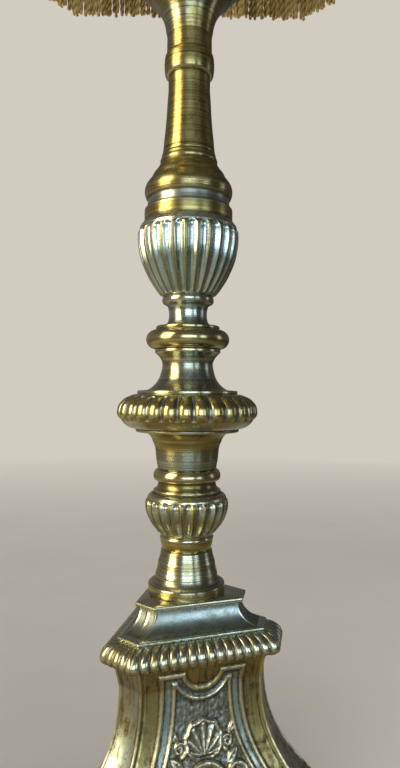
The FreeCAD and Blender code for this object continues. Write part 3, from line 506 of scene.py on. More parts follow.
class Effect:
    """Shared looks as node groups, each built once."""

    made: dict[str, bpy.types.NodeTree] = {}

    @classmethod
    def group(cls, name: str, inputs: dict[str, object], outputs: dict[str, str],
              fill: Callable[[Tree, dict[str, bpy.types.NodeSocket]], dict[str, object]]
              ) -> bpy.types.NodeTree:
        """The named group, built at its first use.

        Args:
            name: the group's name.
            inputs: socket names with default values; a number is a float socket and a
                colour a colour socket.
            outputs: socket names with their kinds.
            fill: builds the inside and gives each output's socket.

        Returns:
            The group's tree.
        """
        if name in cls.made:
            return cls.made[name]
        tree = bpy.data.node_groups.new(name, "ShaderNodeTree")
        for key, value in inputs.items():
            kind = "NodeSocketFloat" if isinstance(value, float) else "NodeSocketColor"
            socket = tree.interface.new_socket(key, in_out="INPUT", socket_type=kind)
            socket.default_value = value if isinstance(value, float) else rgba(value)
        for key, kind in outputs.items():
            tree.interface.new_socket(key, in_out="OUTPUT", socket_type="NodeSocket" + kind)
        entry = tree.nodes.new("NodeGroupInput")
        leave = tree.nodes.new("NodeGroupOutput")
        results = fill(Tree(tree), {key: entry.outputs[key] for key in inputs})
        for key, socket in results.items():
            tree.links.new(socket, leave.inputs[key])
        cls.made[name] = tree
        return tree

    @classmethod
    def tarnish(cls) -> bpy.types.NodeTree:
        """Silver plate worn through to brass, with brown left in the hollows, and proud edges
        lighter: partly polish, partly a painted highlight.
        """
        def fill(t: Tree, i: dict[str, bpy.types.NodeSocket]) -> dict[str, object]:
            """Builds the group's inside."""
            place = t.place()
            hollow, proud = t.value("hollow"), t.value("proud")
            cloud = t.noise(place, 26.0, 4.0, 0.6)
            spots = t.noise(place, 170.0, 5.0, 0.65)
            grain = t.noise(place, 900.0, 3.0, 0.6)
            long_place = t.node("Mapping", None, {0: place, "Scale": (1.0, 1.0, 0.07)})
            streak = t.noise(long_place.outputs[0], 420.0, 4.0, 0.6)
            plate = t.blend(t.span(t.noise(place, 17.0, 3.0, 0.5), 0.42, 0.6), i["Plate"],
                            i["Cool plate"])
            plated = t.more(cloud, t.math("SUBTRACT", spots, 0.5), 0.7)
            plated = t.more(plated, t.math("SUBTRACT", streak, 0.5), i["Streak"])
            bare = t.more(plated, proud, i["Rub"])
            bare = t.math("SUBTRACT", bare, t.math("MULTIPLY", t.value("tone"), 0.5))
            bare = t.span(bare, t.math("SUBTRACT", i["Plate left"], 0.2),
                          t.math("ADD", i["Plate left"], 0.2))
            metal = t.blend(bare, plate, i["Brass"])
            metal = t.blend(t.span(grain, 0.3, 0.75, 0.0, 0.25), metal, i["Brass"])
            # proud edges turn towards Bright, paler than the metal: partly polished metal, partly a
            # painted highlight along edges and crowns
            metal = t.blend(t.math("MULTIPLY", proud, i["Edge"]), metal, i["Bright"])
            brown = t.more(t.math("MULTIPLY", hollow, i["Dirt"]), t.span(spots, 0.52, 0.78),
                           i["Stain"])
            brown = t.more(brown, t.span(streak, 0.5, 0.72), i["Streak"])
            brown = t.more(brown, t.span(cloud, 0.5, 0.68, 0.0, 0.6), i["Stain"], clamp=True)
            brown = t.math("MULTIPLY", brown, t.span(grain, 0.25, 0.7, 0.55, 1.0))
            colour = t.blend(brown, metal, i["Patina"])
            rough = t.more(i["Gloss"], brown, 0.28)
            rough = t.math("ADD", rough, t.span(spots, 0.35, 0.75, -0.03, 0.1), clamp=True)
            pits = t.more(t.math("MULTIPLY", t.span(grain, 0.58, 0.8), -0.5), spots, 0.5)
            return {"Colour": colour, "Roughness": rough, "Height": pits}
        return cls.group(
            "tarnish",
            {"Plate": (0.7, 0.68, 0.6), "Cool plate": (0.55, 0.62, 0.66),
             "Brass": (0.7, 0.52, 0.22), "Patina": (0.08, 0.05, 0.02), "Streak": 0.0,
             "Bright": (0.9, 0.87, 0.72), "Plate left": 0.5, "Rub": 0.4, "Dirt": 0.8,
             "Stain": 0.3, "Gloss": 0.25, "Edge": 0.6},
            {"Colour": "Color", "Roughness": "Float", "Height": "Float"}, fill)

    @classmethod
    def lathe_lines(cls) -> bpy.types.NodeTree:
        """Fine rings left by turning and polishing, by height alone."""
        def fill(t: Tree, i: dict[str, bpy.types.NodeSocket]) -> dict[str, object]:
            """Builds the group's inside."""
            split = t.node("SeparateXYZ", None, {0: t.place()})
            height = split.outputs[2]
            fine = t.noise(height, t.math("MULTIPLY", i["Per metre"], 3.1), 2.0, 0.6,
                           noise_dimensions="1D")
            broad = t.noise(height, i["Per metre"], 3.0, 0.6, noise_dimensions="1D")
            lines = t.more(t.math("MULTIPLY", fine, 0.45), broad, 0.55)
            dark = t.math("MULTIPLY", t.span(lines, 0.42, 0.62), i["Depth"])
            return {"Height": lines, "Dark": dark}
        return cls.group("lathe_lines", {"Per metre": 800.0, "Depth": 0.35},
                         {"Height": "Float", "Dark": "Float"}, fill)

    @classmethod
    def weave(cls) -> bpy.types.NodeTree:
        """Crossing threads with slubs, laid by the cloth's own directions in mm."""
        def fill(t: Tree, i: dict[str, bpy.types.NodeSocket]) -> dict[str, object]:
            """Builds the group's inside."""
            cloth = t.node("SeparateXYZ", None, {0: t.vector("cloth")})
            across, up = cloth.outputs[0], cloth.outputs[1]
            warp = t.math("SINE", t.math("MULTIPLY", across, i["Threads"]))
            weft_place = t.more(up, t.noise(t.vector("cloth"), 0.15, 2.0), 0.5)
            weft = t.math("SINE", t.math("MULTIPLY", weft_place, i["Threads"]))
            cross = t.math("MULTIPLY", warp, weft)
            stretched = t.node("Mapping", None, {0: t.vector("cloth"), "Scale": (0.05, 2.4, 1.0)})
            slub = t.noise(stretched.outputs[0], 1.0, 3.0, 0.6)
            cloud = t.noise(t.vector("cloth"), 0.02, 3.0, 0.5)
            shade = t.more(t.math("MULTIPLY", cross, 0.16), slub, 0.7)
            shade = t.more(shade, cloud, 0.35)
            colour = t.blend(t.span(shade, 0.25, 0.9), i["Deep"], i["Pale"])
            height = t.math("ADD", t.math("MULTIPLY", cross, 0.25), slub)
            return {"Colour": colour, "Height": height}
        return cls.group("weave", {"Threads": 9.0, "Deep": (0.6, 0.5, 0.3),
                                   "Pale": (0.85, 0.78, 0.6)},
                         {"Colour": "Color", "Height": "Float"}, fill)

    @classmethod
    def thread(cls) -> bpy.types.NodeTree:
        """Spun yarn: fine fibres and a cloudy tone; the tone value adds a painted highlight on the
        crowns and painted shade in the twist.
        """
        def fill(t: Tree, i: dict[str, bpy.types.NodeSocket]) -> dict[str, object]:
            """Builds the group's inside."""
            place = t.place()
            fibre = t.noise(place, 1600.0, 3.0, 0.65)
            cloud = t.noise(place, 60.0, 3.0, 0.6)
            tone = t.more(t.value("tone"), t.math("SUBTRACT", cloud, 0.5), 0.6)
            tone = t.more(tone, t.math("SUBTRACT", fibre, 0.5), 0.5)
            colour = t.blend(t.span(tone, 0.1, 0.95), i["Deep"], i["Pale"])
            return {"Colour": colour, "Height": fibre}
        return cls.group("thread", {"Deep": (0.22, 0.13, 0.03), "Pale": (0.8, 0.64, 0.32)},
                         {"Colour": "Color", "Height": "Float"}, fill)

    @classmethod
    def wear(cls) -> bpy.types.NodeTree:
        """Plain even material with faint clouds, dust and rubbed places."""
        def fill(t: Tree, i: dict[str, bpy.types.NodeSocket]) -> dict[str, object]:
            """Builds the group's inside."""
            place = t.place()
            cloud = t.noise(place, i["Size"], 4.0, 0.6)
            speck = t.noise(place, t.math("MULTIPLY", i["Size"], 14.0), 3.0, 0.6)
            share = t.more(t.span(cloud, 0.35, 0.7), t.math("SUBTRACT", speck, 0.5), 0.9,
                           clamp=True)
            colour = t.blend(share, i["Main"], i["Worn"])
            rough = t.more(i["Rough"], share, 0.16, clamp=True)
            return {"Colour": colour, "Roughness": rough, "Height": speck}
        return cls.group("wear", {"Main": (0.5, 0.5, 0.5), "Worn": (0.6, 0.6, 0.6),
                                  "Size": 60.0, "Rough": 0.4},
                         {"Colour": "Color", "Roughness": "Float", "Height": "Float"}, fill)


# -------------------------------------------------------------------- finishes
def shader(name: str) -> tuple[bpy.types.Material, Tree, bpy.types.Node]:
    """A new material with its tree and its principled shader."""
    material = bpy.data.materials.new(name)
    material.use_nodes = True
    tree = Tree(material.node_tree)
    return material, tree, tree.find("BSDF_PRINCIPLED")


def use(tree: Tree, group: bpy.types.NodeTree, **values: object) -> bpy.types.Node:
    """Places a shared group in a material with its own values.

    Args:
        tree: the material's tree.
        group: the group.
        values: the group's inputs by name, with _ for a space.

    Returns:
        The group's node.
    """
    node = tree.tree.nodes.new("ShaderNodeGroup")
    node.node_tree = group
    for key, value in values.items():
        socket = node.inputs[key.replace("_", " ")]
        socket.default_value = value if isinstance(value, float) else rgba(value)
    return node


def bump(tree: Tree, principled: bpy.types.Node, height: bpy.types.NodeSocket, depth: float,
         below: bpy.types.NodeSocket | None = None) -> bpy.types.NodeSocket:
    """Feeds the shader's normal from a height.

    Args:
        tree: the material's tree.
        principled: the shader.
        height: the height.
        depth: what a height of 1 stands for, in metres.
        below: a normal that this one lies over.

    Returns:
        The normal.
    """
    node = tree.node("Bump", None, {"Strength": 1.0, "Distance": depth, "Height": height})
    if below is not None:
        tree.feed(node, {"Normal": below})
    tree.feed(principled, {"Normal": node.outputs[0]})
    return node.outputs[0]


@dataclass(frozen=True)
class PlatedBrass:
    """Worn silver plate over brass."""

    name: str
    plate: Colour = (0.68, 0.72, 0.66)
    brass: Colour = (0.55, 0.47, 0.20)
    patina: Colour = (0.055, 0.042, 0.018)
    cool: Colour = (0.52, 0.66, 0.70)
    # bright and edge: the lighter colour on proud edges and its weight, partly polish and partly a
    # painted highlight
    bright: Colour = (0.9, 0.87, 0.72)
    edge: float = 0.6
    streak: float = 0.0
    plate_left: float = 0.5
    rub: float = 0.45
    dirt: float = 0.85
    stain: float = 0.3
    gloss: float = 0.24
    lines: float = 0.0
    brushed: float = 0.0
    relief: float = 0.00002

    def material(self) -> bpy.types.Material:
        """Builds the material.

        Returns:
            The material.
        """
        material, t, principled = shader(self.name)
        metal = use(t, Effect.tarnish(), Plate=self.plate, Brass=self.brass, Patina=self.patina,
                    Plate_left=self.plate_left, Rub=self.rub, Dirt=self.dirt, Stain=self.stain,
                    Gloss=self.gloss, Cool_plate=self.cool, Bright=self.bright, Edge=self.edge,
                    Streak=self.streak)
        colour = metal.outputs["Colour"]
        below = bump(t, principled, metal.outputs["Height"], self.relief)
        if self.brushed:
            around = t.node("Tangent", None, None, direction_type="RADIAL", axis="Z")
            t.feed(principled, {"Anisotropic": self.brushed, "Anisotropic Rotation": 0.25,
                                "Tangent": around.outputs[0]})
        if self.lines:
            rings = use(t, Effect.lathe_lines(), Depth=self.lines)
            colour = t.blend(rings.outputs["Dark"], colour, rgba(self.patina))
            bump(t, principled, rings.outputs["Height"], self.lines * 0.00008, below)
        t.feed(principled, {"Metallic": 1.0, "Base Color": colour,
                            "Roughness": metal.outputs["Roughness"]})
        return material


@dataclass(frozen=True)
class Plain:
    """An even finish with faint clouds and wear."""

    name: str
    main: Colour
    worn: Colour
    rough: float = 0.4
    metal: float = 0.0
    size: float = 60.0
    relief: float = 0.00001
    coat: float = 0.0

    def material(self) -> bpy.types.Material:
        """Builds the material.

        Returns:
            The material.
        """
        material, t, principled = shader(self.name)
        node = use(t, Effect.wear(), Main=self.main, Worn=self.worn, Size=self.size,
                   Rough=self.rough)
        t.feed(principled, {"Base Color": node.outputs["Colour"],
                            "Roughness": node.outputs["Roughness"],
                            "Metallic": self.metal, "Coat Weight": self.coat})
        bump(t, principled, node.outputs["Height"], self.relief)
        return material


@dataclass(frozen=True)
class Silk:
    """Stretched woven silk."""

    name: str
    deep: Colour
    pale: Colour
    threads: float = 9.0
    rough: float = 0.55
    sheen: float = 0.35

    def material(self) -> bpy.types.Material:
        """Builds the material.

        Returns:
            The material.
        """
        material, t, principled = shader(self.name)
        cloth = use(t, Effect.weave(), Deep=self.deep, Pale=self.pale, Threads=self.threads)
        t.feed(principled, {"Base Color": cloth.outputs["Colour"], "Roughness": self.rough,
                            "Sheen Weight": self.sheen, "Sheen Roughness": 0.4})
        bump(t, principled, cloth.outputs["Height"], 0.00015)
        return material


@dataclass(frozen=True)
class Yarn:
    """Spun silk yarn for braid and fringe."""

    name: str
    deep: Colour
    pale: Colour
    rough: float = 0.6

    def material(self) -> bpy.types.Material:
        """Builds the material.

        Returns:
            The material.
        """
        material, t, principled = shader(self.name)
        yarn = use(t, Effect.thread(), Deep=self.deep, Pale=self.pale)
        t.feed(principled, {"Base Color": yarn.outputs["Colour"], "Roughness": self.rough,
                            "Specular IOR Level": 0.15, "Sheen Weight": 0.04})
        bump(t, principled, yarn.outputs["Height"], 0.00012)
        return material


@dataclass(frozen=True)
class Glass:
    """Thin clear bulb glass, faintly smoked where it is dusty."""

    name: str
    tint: Colour = (1.0, 0.97, 0.92)

    def material(self) -> bpy.types.Material:
        """Builds the material.

        Returns:
            The material.
        """
        material, t, principled = shader(self.name)
        dust = t.noise(t.place(), 90.0, 4.0, 0.6)
        colour = t.blend(t.span(dust, 0.45, 0.8), rgba(self.tint), rgba((0.93, 0.9, 0.85)))
        t.feed(principled, {"Base Color": colour,
                            "Roughness": t.span(dust, 0.4, 0.8, 0.02, 0.09),
                            "Transmission Weight": 1.0, "IOR": 1.45})
        return material


class Finish(Enum):
    """Every finish on the lamp."""

    CAST = PlatedBrass("cast_plate", plate_left=0.62, rub=0.4, stain=0.4, gloss=0.22,
                       streak=0.2, relief=0.00005)
    # the cove's plate is tinted blue beyond silver's own colour: a painted reflection of the cool
    # window light
    COVE = PlatedBrass("cove_plate_painted_blue_reflection", plate=(0.60, 0.74, 0.78), plate_left=0.7, dirt=1.0, rub=0.4,
                       stain=0.4, gloss=0.22, streak=0.15, relief=0.00005)
    # the carved body's proud edges take a stronger, warmer lighter colour: partly polish, partly a
    # painted highlight
    CARVED = PlatedBrass("carved_plate", plate=(0.56, 0.60, 0.58), brass=(0.50, 0.42, 0.19),
                         plate_left=0.52, rub=0.3, dirt=1.0, stain=0.8,
                         gloss=0.27, streak=0.8, bright=(0.95, 0.85, 0.58), edge=0.75,
                         relief=0.00008)
    TURNED = PlatedBrass("turned_plate", plate_left=0.5, stain=0.2, gloss=0.22, lines=0.6,
                         brushed=0.7)
    RUBBED = PlatedBrass("rubbed_brass", brass=(0.52, 0.44, 0.18), plate_left=0.42,
                         stain=0.25, gloss=0.28, lines=0.75,
                         brushed=0.6)
    FLUTED = PlatedBrass("fluted_plate", plate=(0.62, 0.70, 0.68), plate_left=0.56, rub=0.25,
                         dirt=0.95, stain=0.4,
                         gloss=0.22, edge=0.5, relief=0.00004)
    GOLDEN = PlatedBrass("golden_ring", plate_left=0.3, stain=0.15, gloss=0.19, lines=0.4,
                         brushed=0.6)
    HOLDER = PlatedBrass("lacquered_brass", plate_left=0.15, stain=0.25, gloss=0.27, lines=0.25)
    STEEL = Plain("bright_steel", (0.55, 0.54, 0.52), (0.36, 0.33, 0.29), 0.32, 1.0, 90.0)
    BLACK = Plain("black_resin", (0.02, 0.02, 0.02), (0.06, 0.055, 0.05), 0.45, 0.0, 120.0)
    CANDLE = Plain("candle_card", (0.80, 0.72, 0.55), (0.72, 0.62, 0.43), 0.5, 0.0, 45.0,
                   0.00003, 0.15)
    INSERT = Plain("pale_insert", (0.72, 0.70, 0.64), (0.6, 0.57, 0.5), 0.35, 0.0, 80.0)
    CAP = Plain("nickel_cap", (0.72, 0.7, 0.66), (0.5, 0.47, 0.42), 0.28, 1.0, 150.0)
    GLASS = Glass("clear_glass")
    STEM = Glass("mount_glass", (0.95, 0.97, 0.95))
    FILAMENT = Plain("amber_filament", (0.85, 0.55, 0.2), (0.7, 0.4, 0.12), 0.5, 0.0, 200.0)
    WIRE = Plain("cream_wire", (0.62, 0.56, 0.44), (0.4, 0.33, 0.22), 0.42, 0.85, 120.0)
    SILK = Silk("woven_silk", (0.62, 0.47, 0.24), (0.86, 0.74, 0.5))
    LINING = Silk("pale_lining", (0.78, 0.72, 0.6), (0.92, 0.88, 0.78), 7.0)
    # the yarns' deep colour is both their darker fibres and the painted shade in the twist
    BRAID = Yarn("braid_yarn", (0.30, 0.19, 0.06), (0.83, 0.68, 0.38))
    FRINGE = Yarn("fringe_yarn", (0.26, 0.15, 0.018), (1.0, 0.80, 0.36))

    def get(self) -> bpy.types.Material:
        """The material, built at its first use."""
        if self not in DRESSED:
            DRESSED[self] = self.value.material()
        return DRESSED[self]


DRESSED: dict[Finish, bpy.types.Material] = {}


def turned(name: str, node: str, finish: Finish, line: Array, bore: float, segments: int,
           carve: Carving | None = None, shade: Array | None = None, body: str = "stand",
           slot: str = "turned_brass") -> None:
    """Spins an outline into one dressed piece.

    Args:
        name: the piece's name.
        node: the CAD node it stands for.
        finish: its finish.
        line: (radius, height) points in mm, from the bottom up.
        bore: the bore's radius, in mm.
        segments: points round the axis.
        carve: the carving, as lathe takes it.
        shade: the finish's tone per outline point, as lathe takes it.
        body: the body it rides on.
        slot: passed on to dress, which does not use it.
    """
    skin = Skin()
    lathe(skin, line, bore, segments, carve, shade)
    dress(skin.piece(name), finish.get(), body, slot, node)


# ------------------------------------------------------- the three-sided plan
@dataclass
class CantedPlan:
    """A triangle with canted corners, its front face to -Y, swept through levels."""

    long_steps: int = 180
    cant_steps: int = 26

    def shares(self) -> tuple[Array, Array, Array]:
        """Works out the plan's columns.

        Returns:
            Each column's place along its side (-1 to 1), its side's angle, and its kind,
            1 for a canted corner.
        """
        share, angle, canted = [], [], []
        for side in range(3):
            for steps, turn, kind in ((self.long_steps, 0, 0), (self.cant_steps, 60, 1)):
                even = np.linspace(-1, 1, steps + 1)[:-1]
                share.append(0.5 * even + 0.5 * np.sin(even * math.pi / 2))
                angle.append(np.full(steps, math.radians(-90 + 120 * side + turn)))
                canted.append(np.full(steps, kind))
        return np.concatenate(share), np.concatenate(angle), np.concatenate(canted)

    def sweep(self, face: Array, cant: Array, height: Array) -> dict[str, Array]:
        """The plan at each level.

        Args:
            face: distance from the axis to a long face, per row, in mm.
            cant: half the width of a canted corner, per row, in mm.
            height: the rows' heights, in mm.

        Returns:
            Points, outward normals, and each point's place across its side, its side's
            half width, and whether its side is a canted corner.
        """
        share, angle, canted = self.shares()
        reach = 2 * (face - cant * COS30)
        half = COS30 * reach - cant / 2
        far = np.where(canted[None, :], reach[:, None], face[:, None])
        wide = np.where(canted[None, :], cant[:, None], half[:, None])
        across = share * wide
        out = np.stack([np.cos(angle), np.sin(angle), np.zeros_like(angle)], 1)
        side = np.stack([-np.sin(angle), np.cos(angle), np.zeros_like(angle)], 1)
        points = out * far[..., None] + side * across[..., None]
        points[..., 2] = height[:, None]
        rise = np.gradient(height)
        lean = np.where(canted[None, :], np.gradient(reach)[:, None], np.gradient(face)[:, None])
        size = np.maximum(np.hypot(rise[:, None], lean), 1e-9)
        normal = out * (rise[:, None] / size)[..., None]
        normal[..., 2] = -lean / size
        return {"points": points, "normal": normal, "across": across, "half": wide,
                "canted": np.broadcast_to(canted, across.shape)}

    def ring(self, radius: float, height: float, like: Array) -> Array:
        """A round row with one point under each point of another row."""
        flat = like[:, :2] / np.hypot(*like[:, :2].T)[:, None]
        return np.concatenate([flat * radius, np.full((len(like), 1), height)], 1)[None]


def parallel(face: Array, first_face: float, first_cant: float) -> Array:
    """The cant that keeps a drawn-in outline parallel to the first one."""
    return first_cant - (first_face - face) * math.tan(math.radians(30))


# ------------------------------------------------------------ carving on a face
def petal(x: Array, z: Array, spot: tuple[float, float], size: tuple[float, float],
          tilt: float) -> Array:
    """A domed leaf with a groove down its middle.

    Args:
        x: place across the face, in mm.
        z: height over the table, in mm.
        spot: the leaf's middle.
        size: half its length and half its width.
        tilt: its turn from the face's right, in degrees.

    Returns:
        Heights from 0 to about 1.
    """
    c, s = math.cos(math.radians(tilt)), math.sin(math.radians(tilt))
    along = ((x - spot[0]) * c + (z - spot[1]) * s) / size[0]
    aside = (-(x - spot[0]) * s + (z - spot[1]) * c) / size[1]
    width = np.clip(1 - along * along, 0, 1) * (1 - 0.25 * along)
    dome = np.sqrt(np.clip(1 - (aside / np.maximum(width, 1e-3)) ** 2, 0, 1)) * (width > 0)
    return dome * (1 - 0.45 * ridge(aside, 0.35)) * (0.55 + 0.45 * width)


def stroke(x: Array, z: Array, line: Array, thick: tuple[float, float]) -> Array:
    """A rounded bead along a line.

    Args:
        x: place across the face, in mm.
        z: height over the table, in mm.
        line: the line's points.
        thick: its width at the start and at the end, in mm.

    Returns:
        Heights from 0 to 1, lower where it is thinner.
    """
    best = np.zeros_like(x)
    widths = np.linspace(thick[0], thick[1], len(line))
    for start, end, width in zip(line[:-1], line[1:], widths):
        step = end - start
        share = ((x - start[0]) * step[0] + (z - start[1]) * step[1]) / (step @ step + 1e-9)
        share = np.clip(share, 0, 1)
        gap = np.hypot(x - start[0] - share * step[0], z - start[1] - share * step[1])
        best = np.maximum(best, ridge(gap, width) * width / thick[0])
    return best


def curl(centre: tuple[float, float], radii: tuple[float, float],
         turns: tuple[float, float], steps: int = 26) -> Array:
    """Points on a spiral.

    Args:
        centre: its middle on the face.
        radii: its first and last radius, in mm.
        turns: its first and last angle, in degrees from the face's right.
        steps: how many points.

    Returns:
        The points, from the first radius to the last.
    """
    share = np.linspace(0, 1, steps)
    angle = np.radians(turns[0] + (turns[1] - turns[0]) * share)
    radius = radii[0] + (radii[1] - radii[0]) * share ** 0.8
    return np.stack([centre[0] + radius * np.cos(angle), centre[1] + radius * np.sin(angle)], 1)


@dataclass
class Panel:
    """The framed panel on each long face: a moulding, a shell, a boss and scrolls."""

    outer_margin: float = 10.3
    inner_margin: float = 17.0
    outer_top: float = 134.7
    inner_top: float = 129.7
    outer_foot: float = 43.0
    inner_foot: float = 50.5
    notch_z: float = 136.0
    notch_outer_r: float = 9.5
    notch_inner_r: float = 14.8
    shell: tuple[float, float] = (0.0, 100.5)
    shell_r: float = 10.0
    boss_z: float = 80.0
    boss_r: float = 12.5

    def carve(self, x: Array, z: Array, half: Array) -> tuple[Array, Array, Array]:
        """The carving's height over the face, in mm, its dirt and its finish's tone.

        Args:
            x: place across the face.
            z: height over the table.
            half: the face's half width there.

        Returns:
            Heights in mm, dirt from 0 to 1, and tone from -1 to 1.
        """
        side = half - np.abs(x)
        notch = np.hypot(x, z - self.notch_z)
        outer = np.minimum.reduce([side - self.outer_margin, self.outer_top - z,
                                   notch - self.notch_outer_r, z - self.outer_foot])
        inner = np.minimum.reduce([side - self.inner_margin, self.inner_top - z,
                                   notch - self.notch_inner_r, z - self.inner_foot])
        lift = -0.55 * smooth(0.9, 1.7, side) - 0.25 * ridge(side - 2.4, 1.2)
        lift += 0.85 * ridge(outer - 1.1, 2.6)
        lift -= 0.35 * smooth(1.4, 3.0, outer) * (1 - smooth(-0.6, 0.2, inner))
        lift += 0.75 * ridge(inner - 0.7, 2.2)
        ground = smooth(1.2, 2.2, inner)
        lift -= 0.85 * ground
        grit = np.random.default_rng(7).random(x.shape)
        lift += (0.15 + 0.75 * ground) * (box_blur(grit, (1, 1)) - 0.5)
        carved = self.ornament(np.abs(x), z)
        framed = smooth(-0.4, 1.6, outer)
        dirt = 0.45 * ground * (carved < 0.05) + 0.22 * (1 - framed) * smooth(1.0, 4.0, side)
        return lift + ground * carved * 1.9, dirt, 1.7 * framed - 0.8

    def ornament(self, x: Array, z: Array) -> Array:
        """The carving inside the frame on one half of the face.

        Args:
            x: distance from the face's middle, in mm.
            z: height over the table, in mm.

        Returns:
            Heights from 0 to 1.
        """
        best = np.zeros_like(x)
        sx, sz = self.shell
        span = np.hypot(x - sx, z - sz)
        ray = np.degrees(np.arctan2(x, z - (sz - 6.5)))
        ribs = 0.5 + 0.5 * np.cos(np.radians(ray * 360 / 24))
        span = span - 0.7 * ribs
        inside = smooth(-0.6, 0.4, self.shell_r - 2.2 - span) * smooth(-7, -5.5, z - sz)
        best = np.maximum(best, inside * (0.35 + 0.5 * ribs))
        rim = ridge(span - self.shell_r + 1.2, 2.4)
        best = np.maximum(best, 0.95 * rim * smooth(-8, -6, z - sz))
        boss = np.hypot(x, z - self.boss_z)
        best = np.maximum(best, 0.95 * ridge(boss - self.boss_r + 1.4, 2.8))
        dome = np.sqrt(np.clip(1 - (boss / 8.6) ** 2, 0, 1))
        best = np.maximum(best, dome)
        best = np.maximum(best, 0.5 * ridge(boss - 9.6, 0.9))
        curls = (
            ((12.7, 98.6), (3.8, 0.6), (250, -330), (2.0, 1.1)),
            ((17.5, 84.0), (6.4, 1.0), (175, -300), (2.6, 1.2)),
            ((15.0, 66.5), (7.6, 1.2), (140, 560), (3.0, 1.3)),
            ((27.5, 59.5), (6.0, 1.0), (165, -260), (2.6, 1.2)),
            ((7.0, 59.0), (4.8, 1.0), (70, 450), (2.2, 1.1)),
        )
        for centre, radii, turns, thick in curls:
            best = np.maximum(best, 0.8 * stroke(x, z, curl(centre, radii, turns), thick))
        leaves = (
            ((14.8, 92.4), (4.4, 2.6), 45), ((15.5, 104.5), (4.0, 1.9), 60),
            ((18.6, 76.0), (4.2, 2.0), -50), ((13.8, 74.0), (4.6, 2.2), -80),
            ((22.5, 66.5), (4.6, 2.2), 20), ((33.5, 56.5), (4.4, 2.0), -15),
            ((0.0, 62.5), (5.2, 3.0), 90), ((20.5, 55.0), (3.6, 1.7), -10),
            ((24.0, 78.5), (3.8, 1.8), 70),
        )
        for spot, size, tilt in leaves:
            best = np.maximum(best, 0.75 * petal(x, z, spot, size, tilt))
        return best


